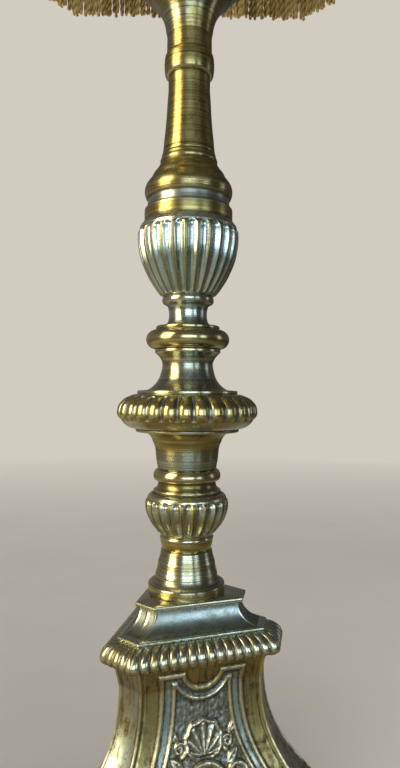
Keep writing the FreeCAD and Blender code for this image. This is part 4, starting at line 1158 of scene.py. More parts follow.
# ------------------------------------------------------------------- the base
@dataclass
class Base:
    """The cast base: feet, plinth, flared body, gadroon border and cap."""

    body: str = "stand"
    foot_r: float = 13.0
    foot_margin: float = 3.0
    plinth: tuple[float, float] = (67.0, 22.5)
    plinth_z: float = 34.0
    wall: float = 3.5
    toe: tuple[float, float] = (64.0, 21.5)
    flare: tuple[float, float] = (43.0, 11.0)
    waist: tuple[float, float] = (27.5, 7.6)
    handle_z: float = 82.0
    waist_z: float = 127.0
    lip: tuple[float, float] = (30.0, 9.0)
    lip_z: float = 139.5
    web: float = 6.0
    border: tuple[float, float] = (36.0, 11.6)
    border_z: float = 150.0
    long_lobes: int = 16
    cant_lobes: int = 5
    ledge: tuple[float, float] = (28.0, 7.4)
    ledge_z: float = 151.8
    cove_top: tuple[float, float] = (19.6, 5.8)
    cove_z: float = 163.9
    plate: tuple[float, float] = (21.6, 6.6)
    plate_z: float = 166.2
    panel: Panel = field(default_factory=Panel)

    @property
    def foot_reach(self) -> float:
        """How far out the feet stand from the axis, in mm."""
        corner = 2 * (self.plinth[0] - self.plinth[1] * COS30)
        return corner - self.foot_r - self.foot_margin

    def build(self) -> None:
        """Builds and dresses every piece of the base."""
        self.feet()
        self.plinth_frame()
        self.flared_body()
        self.gadroons()
        self.cap()

    def feet(self) -> None:
        """Three turned bun feet with a cut line round each."""
        outline = ((1.0, 0.0, 0.0), (7.6, 0.0, 0.0), (8.5, 0.5, 0.3), (12.4, 5.4, 0.12),
                   (12.4, 5.6, 0.22), (8.9, 5.3, 0.12), (8.5, 0.7, -0.3), (8.5, 4.5, 0.0))
        line = ease(trace(outline, 0.0), ends=0.0)
        for index, angle in enumerate(FOOT_ANGLES, 1):
            skin = Skin()
            lathe(skin, line, 1.0, 72)
            skin.points[0] = skin.points[0] + outward(angle) * self.foot_reach
            dress(skin.piece(f"bun_foot_{index}"), Finish.CAST.get(), self.body, "cast_brass",
                  f"foot_{index}")

    def plinth_frame(self) -> None:
        """The stepped frame under the body, moulded on its outer face."""
        plan = CantedPlan(60, 26)
        steps = ((-0.5, 22.0), (0.0, 22.6), (0.0, 27.4), (-0.25, 28.0), (-0.9, 28.3), (-0.9, 28.9),
                 (-0.35, 29.3), (0.0, 30.4), (-0.15, 31.8), (-0.8, 33.0), (-1.9, 33.7),
                 (-2.6, 34.0))
        face = self.plinth[0] + np.array([step for step, _ in steps] + [-6.5, -6.5])
        height = np.array([z for _, z in steps] + [34.0, 22.0])
        cant = parallel(face, *self.plinth)
        swept = plan.sweep(face, cant, height)
        skin = Skin()
        hollow = np.zeros_like(swept["across"])
        hollow[4:6] = 0.9
        hollow[10:12] = 0.6
        skin.grid(swept["points"], True, hollow=hollow)
        boss = Skin()
        lathe(boss, np.array([[10.1, 22.1], [10.5, 22.6], [10.5, 29.5], [10.1, 30.0]]), 2.7, 48)
        for angle in FOOT_ANGLES:
            skin.add(boss.points[0] + outward(angle) * self.foot_reach, boss.faces,
                     hollow=boss.values["hollow"][0])
        made = dress(skin.piece("moulded_plinth"), Finish.CAST.get(), self.body, "cast_brass",
                     "plinth")
        sharpen(made, 40)

    def flared_body(self) -> None:
        """The hollow casting with its three carved panels and hollowed corners."""
        plan = CantedPlan(190, 30)
        t = np.linspace(0, 1, 176)
        face = bezier(t, (self.toe[0], self.flare[0], self.waist[0], self.waist[0]))
        cant = bezier(t, (self.toe[1], self.flare[1], self.waist[1], self.waist[1]))
        height = bezier(t, (self.plinth_z, self.handle_z, self.handle_z, self.waist_z))
        share = np.linspace(0, 1, 24)[1:]
        face = np.concatenate([face, self.waist[0] + (self.lip[0] - self.waist[0]) * share])
        cant = np.concatenate([cant, self.waist[1] + (self.lip[1] - self.waist[1]) * share])
        height = np.concatenate([height, self.waist_z + (self.lip_z - self.waist_z) * share])
        swept = plan.sweep(face, cant, height)
        x, half = swept["across"], swept["half"]
        z = np.broadcast_to(height[:, None], x.shape)
        long_lift, ground, framed = self.panel.carve(x, z, half)
        edge = half - np.abs(x)
        cant_lift = -0.45 * smooth(0.5, 1.1, edge) - 0.9 * (1 - (x / half) ** 2)
        lift = np.where(swept["canted"] > 0, cant_lift, long_lift)
        lift *= smooth(self.plinth_z, self.plinth_z + 2.5, z)
        points = swept["points"] + swept["normal"] * lift[..., None]
        sunk, risen = ring_cavity(lift, (3, 3), 0.3)
        # the arrises count as fully proud: rubbed plate and a painted highlight along each arris
        risen = np.clip(risen + 1.0 * (edge < 0.95), 0, 1)
        sunk = np.clip(sunk + ground * (swept["canted"] == 0), 0, 1)
        inner = plan.sweep(face[::8] - self.wall,
                           cant[::8] - self.wall * math.tan(math.radians(30)), height[::8])
        lining = inner["points"][::-1]
        lining = lining[lining[:, 0, 2] < self.lip_z - self.web - 0.5]
        web_z = self.lip_z - self.web
        roof = lining[0].copy()
        roof[:, 2] = web_z
        rest = np.concatenate([plan.ring(ROD_HOLE_R, self.lip_z, points[-1]),
                               plan.ring(ROD_HOLE_R, web_z, points[-1]), roof[None], lining])
        tone = np.where(swept["canted"] > 0, 0.3, framed)
        skin = Skin()
        skin.close(points, rest, {"hollow": (sunk, 0.4), "proud": (risen, 0.0),
                                  "tone": (tone, 0.0)})
        dress(skin.piece("carved_body"), Finish.CARVED.get(), self.body, "cast_brass",
              "base_body")

    def gadroons(self) -> None:
        """The border of rounded lobes that run straight out over the body's lip."""
        plan = CantedPlan(self.long_lobes * 12, self.cant_lobes * 12)
        turn = np.radians(np.concatenate([np.linspace(-90, 0, 12)[:-1], np.linspace(0, 90, 20)]))
        low, high = 3.0, self.border_z - self.lip_z - 3.0
        radius = np.where(turn < 0, low, high)
        face = self.border[0] - radius * (1 - np.cos(turn))
        height = self.lip_z + low + radius * np.sin(turn)
        cant = parallel(face, *self.border)
        swept = plan.sweep(face, cant, height)
        share, _, canted = plan.shares()
        count = np.where(canted > 0, self.cant_lobes, self.long_lobes)
        spot = np.mod((share + 1) / 2 * count, 1.0)
        bow = np.sqrt(np.clip(1 - ((spot - 0.5) / 0.5) ** 2, 0, 1))
        along = np.linspace(0, 1, len(face))[:, None]
        grow = np.sqrt(np.clip(np.minimum(along / 0.22, (1 - along) / 0.30), 0, 1))
        lift = 1.45 * (np.minimum(bow[None, :], 0.98) - 1.0) * grow ** 0.5
        points = swept["points"] + swept["normal"] * lift[..., None]
        sunk = np.clip((1 - bow)[None, :] * 1.5 - 0.25, 0, 1) * np.ones_like(lift)
        # the lobes' crowns count as proud: rubbed plate and a painted highlight on each crown
        risen = np.clip((bow - 0.7)[None, :] * 2 * grow, 0, 1)
        rest = np.concatenate([plan.ring(ROD_HOLE_R, self.border_z, points[-1]),
                               plan.ring(ROD_HOLE_R, self.lip_z, points[0])])
        skin = Skin()
        skin.close(points, rest, {"hollow": (sunk, 0.5), "proud": (risen, 0.0)})
        dress(skin.piece("lobed_border"), Finish.FLUTED.get(), self.body, "cast_brass",
              "gadroon_border")

    def cap(self) -> None:
        """Ledge, hollow-curved cove and top plate, with a fine ridge up each corner."""
        plan = CantedPlan(72, 30)
        turn = np.radians(np.linspace(0, 90, 34))
        inward = np.sin(turn)
        rim = 0.35
        face = [self.ledge[0] - rim, self.ledge[0], self.ledge[0], self.ledge[0] - rim]
        cant = [self.ledge[1] - rim * 0.6, self.ledge[1], self.ledge[1], self.ledge[1] - rim * 0.6]
        height = [self.border_z, self.border_z + rim, self.ledge_z - rim, self.ledge_z]
        face += list(self.ledge[0] + (self.cove_top[0] - self.ledge[0]) * inward[5:])
        cant += list(self.ledge[1] + (self.cove_top[1] - self.ledge[1]) * inward[5:])
        height += list(self.ledge_z + (self.cove_z - self.ledge_z) * (1 - np.cos(turn[5:])))
        face += [self.plate[0] - rim, self.plate[0], self.plate[0], self.plate[0] - rim]
        cant += [self.plate[1] - rim * 0.6, self.plate[1], self.plate[1], self.plate[1] - rim * 0.6]
        height += [self.cove_z, self.cove_z + rim, self.plate_z - rim, self.plate_z]
        face, cant, height = np.array(face), np.array(cant), np.array(height)
        swept = plan.sweep(face, cant, height)
        edge = swept["half"] - np.abs(swept["across"])
        cove = np.zeros((len(face), 1))
        cove[5:-5] = 1.0
        ridge_line = 0.4 * ridge(swept["across"], 1.1) * (swept["canted"] > 0) * cove
        lift = ridge_line - 0.25 * smooth(0.3, 0.9, edge) * cove
        points = swept["points"] + swept["normal"] * lift[..., None]
        hollow = np.clip((1 - np.linspace(0, 1, len(face))) * 0.8, 0, 1)[:, None] * cove
        hollow = hollow * np.ones_like(lift)
        # the corner ridges, arrises and rim rows count as proud: rubbed plate and a painted
        # highlight along them
        proud = np.clip(ridge_line * 2 + (edge < 0.4), 0, 1)
        proud[:4] = np.maximum(proud[:4], 0.35)
        proud[-4:] = np.maximum(proud[-4:], 0.6)
        rest = np.concatenate([plan.ring(ROD_HOLE_R, self.plate_z, points[-1]),
                               plan.ring(ROD_HOLE_R, self.border_z, points[0])])
        skin = Skin()
        skin.close(points, rest, {"hollow": (hollow, 0.0), "proud": (proud, 0.0)})
        dress(skin.piece("hollow_cap"), Finish.COVE.get(), self.body, "cast_brass", "base_cap")


# ----------------------------------------------------------------- the column
@dataclass(frozen=True)
class Flutes:
    """Hollow flutes with rounded tops round a turned form."""

    count: int
    low: float
    high: float
    land: float = 0.34
    depth: float = 0.2
    plated: float = 1.0

    def cut(self, turn: Array, radius: Array, height: Array) -> Cut:
        """The flutes' carving.

        Args:
            turn: the turn of each point, in rad.
            radius: its radius, in mm.
            height: its height, in mm.

        Returns:
            The lift in mm, negative inwards, and the marks.
        """
        pitch = 2 * math.pi / self.count
        aside = (np.mod(turn / pitch, 1.0) - 0.5)
        half = (1 - self.land) / 2
        width = half * pitch * radius
        top = np.clip((self.high - height) / width, 0, 1)
        foot = np.clip((height - self.low) / width, 0, 1)
        narrow = np.sqrt(np.clip(1 - (1 - np.minimum(top, foot)) ** 2, 0, 1))
        here = np.clip(1 - (aside / np.maximum(half * narrow, 1e-4)) ** 2, 0, 1) * (narrow > 0)
        deep = self.depth * pitch * radius * narrow
        land = np.clip((np.abs(aside) - half) / (0.5 - half), 0, 1)
        inside = smooth(0, 0.4, top) * smooth(0, 0.4, foot)
        crown = 0.09 * pitch * radius * (1 - (1 - land) ** 2) * inside
        middle = ridge(aside - np.copysign(0.5, aside), 0.1) * inside
        edge = ridge(np.abs(aside) - half * narrow - 0.015, 0.09) * (narrow > 0)
        flat = smooth(0.0, 0.3, land) * inside
        # the rims round the flutes take plate tone and less dirt: partly plate left on them, partly
        # a painted highlight along each rim
        return Cut(crown - deep * here - 0.05 * pitch * radius * middle,
                   np.clip(0.62 * flat + 0.5 * middle - 0.5 * edge, 0, 1), 0.15 * flat,
                   np.where(here > 0, self.plated, 0.8 * edge - 0.5 * flat))


@dataclass(frozen=True)
class Lobes:
    """Swelling lobes with a beaded channel between them."""

    count: int
    low: float
    high: float
    depth: float = 1.8

    def cut(self, turn: Array, radius: Array, height: Array) -> Cut:
        """The lobes' carving.

        Args:
            turn: the turn of each point, in rad.
            radius: its radius, in mm.
            height: its height, in mm.

        Returns:
            The lift in mm, negative inwards, and the marks.
        """
        aside = np.mod(turn * self.count / (2 * math.pi), 1.0) - 0.5
        foot = np.clip((height - self.low) / 2.2, 0, 1)
        top = np.clip((self.high - height) / 2.0, 0, 1)
        grow = np.sqrt(np.clip(1 - (1 - np.minimum(foot, top)) ** 2, 0, 1))
        bow = np.sqrt(np.clip(1 - (aside / 0.41) ** 2, 0, 1))
        bead = 0.5 * np.sqrt(np.clip(1 - ((np.abs(aside) - 0.5) / 0.055) ** 2, 0, 1))
        inside = (height > self.low) & (height < self.high)
        top = np.maximum(bow, bead)
        dirt = np.where(inside, np.clip(1.35 - 1.9 * top, 0, 1) * grow, 0.0)
        dirt = np.where(bead > 0.15, dirt * 0.3, dirt)
        return Cut(np.where(inside, self.depth * grow * (top - 1.0), 0.0), dirt,
                   0.1 * dirt, np.where(inside, np.where(bead > bow, 1.0, -0.6 * bow), 0.0))


@dataclass(frozen=True)
class Section:
    """One turned section of the column."""

    name: str
    outline: Outline
    finish: Finish = Finish.TURNED
    segments: int = 144
    carving: Flutes | Lobes | None = None
    tones: tuple[tuple[float, float], ...] = ((0.0, 0.0),)

    def rise(self) -> float:
        """Its height, in mm."""
        return sum(step for _, step, _ in self.outline)


@dataclass
class Column:
    """The stack of turned sections on the base's plate."""

    seat: float = 166.2
    body: str = "stand"
    sections: tuple[Section, ...] = (
        Section("bell_foot", (
            (20.5, 0.0, 0.0), (20.8, 0.8, 0.3), (20.8, 3.6, 0.05), (20.0, 0.8, 0.3),
            (19.4, 0.4, 0.0), (16.9, 4.2, -0.3), (15.5, 6.5, -0.05), (13.9, 6.5, -0.06)),
            tones=((0, -0.3), (5, -0.3), (7, 0.25), (23, 0.1))),
        Section("knop", (
            (12.9, 0.0, 0.0), (14.4, 5.6, 0.12), (14.4, 1.6, 0.3), (13.9, 0.8, 0.0)),
            Finish.GOLDEN),
        Section("small_bowl", (
            (14.2, 0.0, 0.0), (16.8, 3.6, 0.05), (21.7, 8.8, 0.12), (22.2, 3.4, 0.1),
            (21.6, 3.4, 0.15), (19.0, 3.4, 0.4), (18.3, 0.6, 0.0), (18.3, 1.3, 0.2)),
            Finish.FLUTED, 22 * 16, Flutes(22, 198.6, 216.6, plated=0.1)),
        Section("collar", (
            (17.9, 0.0, 0.0), (15.8, 3.0, -0.25), (15.9, 1.2, -0.1), (17.6, 1.0, 0.0),
            (17.8, 4.4, 0.3), (16.2, 1.4, 0.3)), Finish.GOLDEN),
        Section("waist", (
            (15.9, 0.0, 0.0), (16.9, 5.5, 0.0), (17.3, 4.4, 0.0), (18.8, 5.0, -0.12),
            (23.4, 5.4, -0.25)), tones=((0, 0.3), (8, 0.2), (14, -0.8), (21, -0.9))),
        Section("gadroon_disc", (
            (27.8, 0.0, 0.0), (28.2, 1.6, 0.3), (28.9, 0.3, 0.0), (36.0, 4.6, 0.25),
            (36.4, 0.4, 0.0), (38.3, 2.3, 0.15), (38.3, 3.0, 0.1), (36.4, 4.0, 0.2),
            (32.0, 3.0, 0.15), (28.4, 1.2, 0.1)),
            Finish.FLUTED, 28 * 16, Lobes(28, 259.5, 272.4)),
        Section("lower_spool", (
            (27.3, 0.0, 0.0), (27.3, 1.9, 0.2), (22.0, 0.4, 0.0), (14.8, 8.8, -0.22),
            (13.8, 5.6, -0.06), (16.4, 4.6, -0.15), (17.9, 1.3, -0.1), (17.9, 1.8, 0.1))),
        Section("torus_ring", (
            (18.2, 0.0, 0.0), (18.2, 0.3, 0.0), (18.2, 10.3, 0.9), (17.3, 0.3, 0.0),
            (17.3, 1.8, 0.2)), Finish.GOLDEN),
        Section("upper_spool", (
            (14.8, 0.0, 0.0), (11.0, 2.6, -0.3), (10.4, 4.0, -0.1), (10.9, 3.6, -0.08),
            (13.0, 2.0, -0.25)), tones=((0, 0.9), (12, 0.9))),
        Section("cup_ring", (
            (13.4, 0.0, 0.0), (13.9, 3.4, 0.3), (13.2, 1.1, 0.0)), tones=((0, 0.7), (5, 0.7))),
        Section("fluted_cup", (
            (14.4, 0.0, 0.0), (18.7, 5.6, 0.06), (23.3, 8.6, 0.06), (26.6, 10.8, 0.08),
            (27.1, 4.4, 0.05), (26.7, 6.6, 0.08), (25.6, 2.4, 0.3), (23.0, 2.1, 0.3)),
            Finish.FLUTED, 26 * 16, Flutes(26, 327.3, 362.4),
            ((0, 0), (36.2, 0), (37.5, 1.0), (41, 1.0))),
        Section("shoulder", (
            (24.1, 0.0, 0.0), (24.1, 6.6, 0.03), (22.9, 0.6, 0.0), (22.4, 5.0, -0.06),
            (23.2, 0.6, 0.0), (22.6, 8.2, 0.3), (20.8, 2.4, 0.0), (20.4, 0.4, 0.0),
            (17.4, 4.6, 0.15), (16.9, 1.2, 0.0), (15.6, 3.0, -0.15), (15.5, 1.6, 0.3),
            (14.9, 2.8, -0.1)), Finish.RUBBED,
            tones=((0, -0.5), (6.4, -0.6), (7.2, 1.0), (12.0, 1.0), (13, -0.6), (20, -0.7),
                   (23, -0.2), (31, -0.8), (37, -0.6))),
        Section("stem", (
            (14.6, 0.0, 0.0), (13.7, 8.0, -0.03), (12.1, 19.0, -0.02), (11.5, 8.5, 0.0),
            (11.5, 8.0, 0.0)), Finish.RUBBED, tones=((0, -0.8), (43, -0.6))),
        Section("top_cup", (
            (12.2, 0.0, 0.0), (13.4, 1.6, 0.3), (13.4, 9.0, 0.08), (12.4, 1.6, 0.2),
            (12.3, 9.0, 0.0), (13.0, 4.2, -0.05), (14.0, 4.9, -0.06), (16.2, 5.4, -0.08),
            (22.6, 8.1, -0.1), (32.8, 11.2, -0.02), (39.4, 7.4, 0.0), (40.2, 1.4, 0.3)),
            Finish.RUBBED, tones=((0, -0.8), (12, -0.8), (14, -0.3), (30, 0.0), (62, -0.3))),
    )

    def build(self) -> None:
        """Turns, carves and dresses each section."""
        seat = self.seat
        for section in self.sections:
            coarse = 0.42 if section.carving else 0.8
            line = ease(trace(section.outline, seat), coarse=coarse)
            carve = section.carving.cut if section.carving else None
            tones = np.array(section.tones)
            shade = np.interp(line[:, 1] - seat, tones[:, 0], tones[:, 1])
            turned(f"turned_{section.name}", section.name, section.finish, line, ROD_HOLE_R,
                   section.segments, carve, shade, self.body)
            seat += section.rise()


# ------------------------------------------------------ candle and lampholder
@dataclass
class Holder:
    """Drip pan, candle sleeve, lampholder, bulb and the shade's carrier."""

    body: str = "stand"
    pan_z: float = 511.8
    candle_r: float = 11.0
    candle_z: float = 514.6
    holder_z: float = 590.6
    bulb_z: float = 624.9
    ring_z: float = 621.6

    def build(self) -> None:
        """Builds and dresses the pieces above the column."""
        self.pan()
        self.candle()
        self.cap()
        self.clamp()
        self.bulb_cap()
        self.kept()

    def pan(self) -> None:
        """A shallow dish with a rolled rim, and the cup the candle stands in."""
        z = self.pan_z
        outline = ((5.15, 0.0, 0.0), (38.0, 0.0, 0.0), (39.6, 0.1, 0.1), (48.4, 4.5, -0.15),
                   (49.6, 3.0, 0.1), (49.9, 1.7, 0.2), (49.5, 0.45, 0.35), (48.2, -0.1, 0.4),
                   (46.8, -3.45, 0.0), (40.0, -4.4, 0.15), (38.0, -0.2, 0.0), (17.0, -0.02, 0.0),
                   (5.15, 0.0, 0.0))
        line = ease(trace(outline, z), ends=0.0, coarse=1.0)
        turned("dished_pan", "drip_pan", Finish.TURNED, line, ROD_HOLE_R, 144, body=self.body)
        outline = ((5.15, 0.0, 0.0), (12.5, 0.0, 0.0), (12.7, 1.2, 0.2), (12.2, 1.4, -0.1),
                   (12.9, 5.4, -0.12), (14.4, 2.0, -0.15), (15.0, 0.5, 0.2), (14.9, 0.5, 0.3),
                   (11.2, 0.0, 0.0), (11.1, -0.3, 0.0), (11.1, -9.5, 0.0), (5.15, 0.0, 0.0))
        line = ease(trace(outline, z + 1.6), ends=0.0, coarse=0.9)
        turned("candle_cup", "candle_socket", Finish.GOLDEN, line, ROD_HOLE_R, 96, body=self.body)

    def candle(self) -> None:
        """The card candle sleeve with runs of wax down its side."""
        rng = np.random.default_rng(5)
        runs = [(rng.uniform(0, 2 * math.pi), rng.uniform(14, 52), rng.uniform(1.0, 1.9))
                for _ in range(9)]

        def wax(turn: Array, radius: Array, height: Array) -> Cut:
            """The runs of wax."""
            drop = self.holder_z - height
            lift = np.zeros_like(radius)
            for at, long, wide in runs:
                aside = (np.mod(turn - at + math.pi, 2 * math.pi) - math.pi) * radius
                end = np.hypot(aside, np.maximum(drop - long, 0))
                end = end - 0.25 * smooth(long - 6, long, drop)
                lift = np.maximum(lift, 0.8 * ridge(end, 2 * wide))
            return Cut(lift * (radius > self.candle_r - 0.1) * smooth(0.2, 1.2, drop))

        top = self.holder_z - self.candle_z
        outline = ((9.8, 0.0, 0.0), (10.9, 0.0, 0.0), (11.0, 0.3, 0.2), (11.0, top - 0.7, 0.0),
                   (10.8, 0.35, 0.2), (9.9, 0.05, 0.0), (9.8, -0.3, 0.1), (9.8, -top + 2, 0.0))
        line = ease(trace(outline, self.candle_z), ends=0.0, coarse=0.9)
        turned("wax_sleeve", "candle_tube", Finish.CANDLE, line, 9.8, 120, wax,
               body=self.body, slot="candle_sleeve")

    def cap(self) -> None:
        """The lampholder's lower cup, with a rolled foot and a cut line."""
        outline = ((5.15, 0.0, 0.0), (11.6, 0.0, 0.0), (12.5, 0.6, 0.3), (12.2, 0.9, 0.2),
                   (19.4, 8.5, 0.32), (19.5, 1.3, 0.0), (19.1, 0.3, 0.0), (19.1, 0.5, 0.0),
                   (19.5, 0.3, 0.0), (19.5, 3.0, 0.0), (19.2, 0.1, 0.0), (18.2, 0.0, 0.0),
                   (18.2, -5.5, 0.0), (5.15, 0.0, 0.0))
        line = ease(trace(outline, self.holder_z), ends=0.0, fillet=0.1)
        turned("holder_cup", "holder_cap", Finish.HOLDER, line, ROD_HOLE_R, 120,
               body=self.body, slot="holder_brass")

    def clamp(self) -> None:
        """The clamp ring, knurled all round for the fingers."""
        def knurl(turn: Array, radius: Array, height: Array) -> Cut:
            """The knurling."""
            place = smooth(26.6, 26.9, radius)
            return Cut(-0.5 * place * (0.5 - 0.5 * np.cos(turn * 64)) ** 0.6)

        outline = ((19.7, 0.0, 0.0), (26.0, 0.0, 0.0), (26.6, 0.5, 0.2), (27.0, 0.8, 0.0),
                   (27.0, 5.0, 0.0), (26.6, 0.6, 0.0), (25.4, 1.1, 0.2), (20.6, 0.0, 0.0),
                   (19.7, -0.4, 0.0))
        line = ease(trace(outline, self.ring_z), ends=0.0, fillet=0.1, coarse=0.5)
        turned("knurled_ring", "clamp_ring", Finish.HOLDER, line, 19.7, 384, knurl,
               body="clamp_ring", slot="holder_brass")

    def bulb_cap(self) -> None:
        """The bulb's rolled screw thread."""
        def thread(turn: Array, radius: Array, height: Array) -> Cut:
            """The rolled thread."""
            phase = (height - self.bulb_z) / 3.6 * 2 * math.pi - turn
            band = smooth(1.0, 3.0, height - self.bulb_z)
            band = band * (1 - smooth(17.0, 19.0, height - self.bulb_z))
            return Cut((radius > 12.9) * band * (0.5 * np.cos(phase) - 0.5))

        outline = ((4.0, 0.0, 0.0), (12.0, 0.0, 0.0), (13.1, 1.1, 0.3), (13.1, 18.4, 0.0),
                   (13.1, 2.2, 0.0), (12.8, 0.3, 0.2), (12.6, 0.0, 0.0), (12.2, -0.2, 0.0),
                   (12.2, -20.4, 0.0), (4.0, -0.9, 0.0))
        line = ease(trace(outline, self.bulb_z), ends=0.0, fillet=0.1, coarse=0.45)
        turned("threaded_bulb_cap", "bulb_cap", Finish.CAP, line, 4.0, 96, thread,
               body="bulb", slot="bulb_metal")

    def kept(self) -> None:
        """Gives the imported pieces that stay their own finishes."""
        finishes = {
            Finish.STEEL: ("foot_screws", "threaded_tube", "rod_washer", "rod_nut", "pan_nut",
                           "earth_tag", "earth_screw", "grub_screw"),
            Finish.BLACK: ("cable_bush", "bulb_insulator"),
            Finish.HOLDER: ("holder_shell", "screw_shell", "centre_contact", "switch_bar",
                            "carrier_foot", "carrier_arms", "carrier_ring"),
            Finish.INSERT: ("holder_core",),
            Finish.CAP: ("bulb_tip",),
            Finish.GLASS: ("bulb_glass",),
            Finish.STEM: ("bulb_stem",),
            Finish.FILAMENT: ("filaments",),
            Finish.WIRE: ("frame_lower_rim", "frame_upper_rim", "frame_ribs", "gallery_ring",
                          "gallery_arms"),
        }
        for finish, names in finishes.items():
            for name in names:
                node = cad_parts[name]
                node.data.materials.clear()
                node.data.materials.append(finish.get())
                LOG.info("%s stays, in %s", name, finish.value.name)


# ------------------------------------------------------------------ the shade
@dataclass
class Shade:
    """The silk cover, lining, braids and bullion fringe on the wire frame."""

    body: str = "shade"
    low_half: float = 117.0
    high_half: float = 74.0
    low_cut: float = 34.0
    high_cut: float = 21.0
    waist: float = 11.0
    bottom: float = 605.1
    height: float = 182.0
    sink: float = 2.6
    wall: float = 0.8
    lining_inset: float = 1.1
    lining_wall: float = 0.5
    band_h: float = 12.0
    lap: float = 8.0
    fringe_h: float = 60.0
    cord_r: float = 1.55
    cord_gap: float = 1.8
    corner_stop: float = 0.999

    def size(self, share: Array) -> tuple[Array, Array]:
        """Half width and corner cut at that share of the height."""
        half = self.low_half + (self.high_half - self.low_half) * share
        cut = self.low_cut + (self.high_cut - self.low_cut) * share
        return half - self.waist * 4 * share * (1 - share), cut

    def around(self, half: Array, cut: Array, height: Array, inset: Array,
               spacing: float) -> dict[str, Array]:
        """Rows round the eight-sided plan.

        Args:
            half: half width per row, in mm.
            cut: leg of the cut corner per row, in mm.
            height: the rows' heights, in mm.
            inset: how far each row is drawn in, in mm.
            spacing: the columns' spacing on the widest row, in mm.

        Returns:
            Points, outward normals, run round the shade, distance to the nearest edge of
            the side, and the share along the side from -1 to 1, which stops a thousandth
            short on a cut corner.
        """
        spans = (2 * float((half - cut).max()), math.sqrt(2) * float(cut.max()))
        half = half - inset
        cut = cut - inset * (2 - math.sqrt(2))
        parts: dict[str, list[Array]] = {"points": [], "normal": [], "edge": [], "share": []}
        for side in range(8):
            corner = side % 2
            far = (2 * half - cut) / math.sqrt(2) if corner else half
            wide = cut / math.sqrt(2) if corner else half - cut
            steps = max(6, int(spans[corner] / spacing))
            share = np.linspace(-1, 1, steps + 1)[:-1]
            out = outward(SHADE_TURN + 45 * side)
            tangent = np.array([-out[1], out[0], 0.0])
            points = out * far[:, None, None] + tangent * (wide[:, None] * share)[..., None]
            points[..., 2] = height[:, None]
            parts["points"].append(points)
            parts["normal"].append(np.broadcast_to(out, points.shape))
            parts["edge"].append(wide[:, None] * (1 - np.abs(share)))
            share = share * (self.corner_stop if corner else 1)
            parts["share"].append(np.broadcast_to(share, (len(half), steps)))
        made = {key: np.concatenate(value, 1) for key, value in parts.items()}
        step = np.linalg.norm(np.diff(made["points"], axis=1, append=made["points"][:, :1]), axis=2)
        made["run"] = np.concatenate([np.zeros((len(step), 1)), np.cumsum(step, 1)[:, :-1]], 1)
        return made

    def cloth_rows(self, inset: float, rows: int) -> tuple[Array, Array]:
        """The stretched cloth's surface.

        Args:
            inset: how far it lies inside the cover, in mm.
            rows: how many rows.

        Returns:
            Its points, and the cloth's own directions at each, in mm.
        """
        share = np.linspace(0, 1, rows)
        half, cut = self.size(share)
        height = self.bottom + self.height * share
        ring = self.around(half, cut, height, np.full(rows, inset), 3.2)
        bow = np.sin(math.pi * share)[:, None] * (1 - ring["share"] ** 2)
        bow = bow * np.clip(ring["edge"].max(1)[:, None] / 60, 0.2, 1)
        tuck = 0.35 * np.exp(-(ring["edge"] / 2.4) ** 2)
        points = ring["points"] + ring["normal"] * (tuck - self.sink * bow)[..., None]
        slant = np.concatenate([[0], np.cumsum(np.hypot(np.diff(half), np.diff(height)))])
        cloth = np.stack([ring["run"], np.broadcast_to(slant[:, None], ring["run"].shape),
                          np.zeros_like(ring["run"])], -1)
        return points, cloth

    def sheet(self, name: str, inset: float, wall: float, finish: Finish, slot: str,
              node: str) -> bpy.types.Object:
        """One stretched sheet as a thin closed shell.

        Args:
            name: the piece's name.
            inset: how far its outside lies inside the cover's, in mm.
            wall: its thickness, in mm.
            finish: its finish.
            slot: passed on to dress, which does not use it.
            node: the CAD node it stands for.

        Returns:
            The piece.
        """
        rows = 60
        outer, cloth = self.cloth_rows(inset, rows)
        inner, _ = self.cloth_rows(inset + wall, rows)
        skin = Skin()
        skin.grid(np.concatenate([outer, inner[::-1]]), True,
                  cloth=np.concatenate([cloth, cloth[::-1]]))
        made = dress(skin.piece(name), finish.get(), self.body, slot, node)
        sharpen(made, 60)
        return made

    def area(self, inset: float) -> tuple[float, float, float]:
        """The cloth's cut size.

        Args:
            inset: how far it lies inside the cover, in mm.

        Returns:
            Its widest length and slant height in metres, and its area in square metres.
        """
        points, cloth = self.cloth_rows(inset, 60)
        loop = cloth[:, -1, 0] + np.linalg.norm(points[:, -1] - points[:, 0], axis=1)
        slant = cloth[:, 0, 1]
        area = float(((loop[1:] + loop[:-1]) / 2 * np.diff(slant)).sum())
        return float(loop.max()) * MM, float(slant[-1]) * MM, area * MM * MM

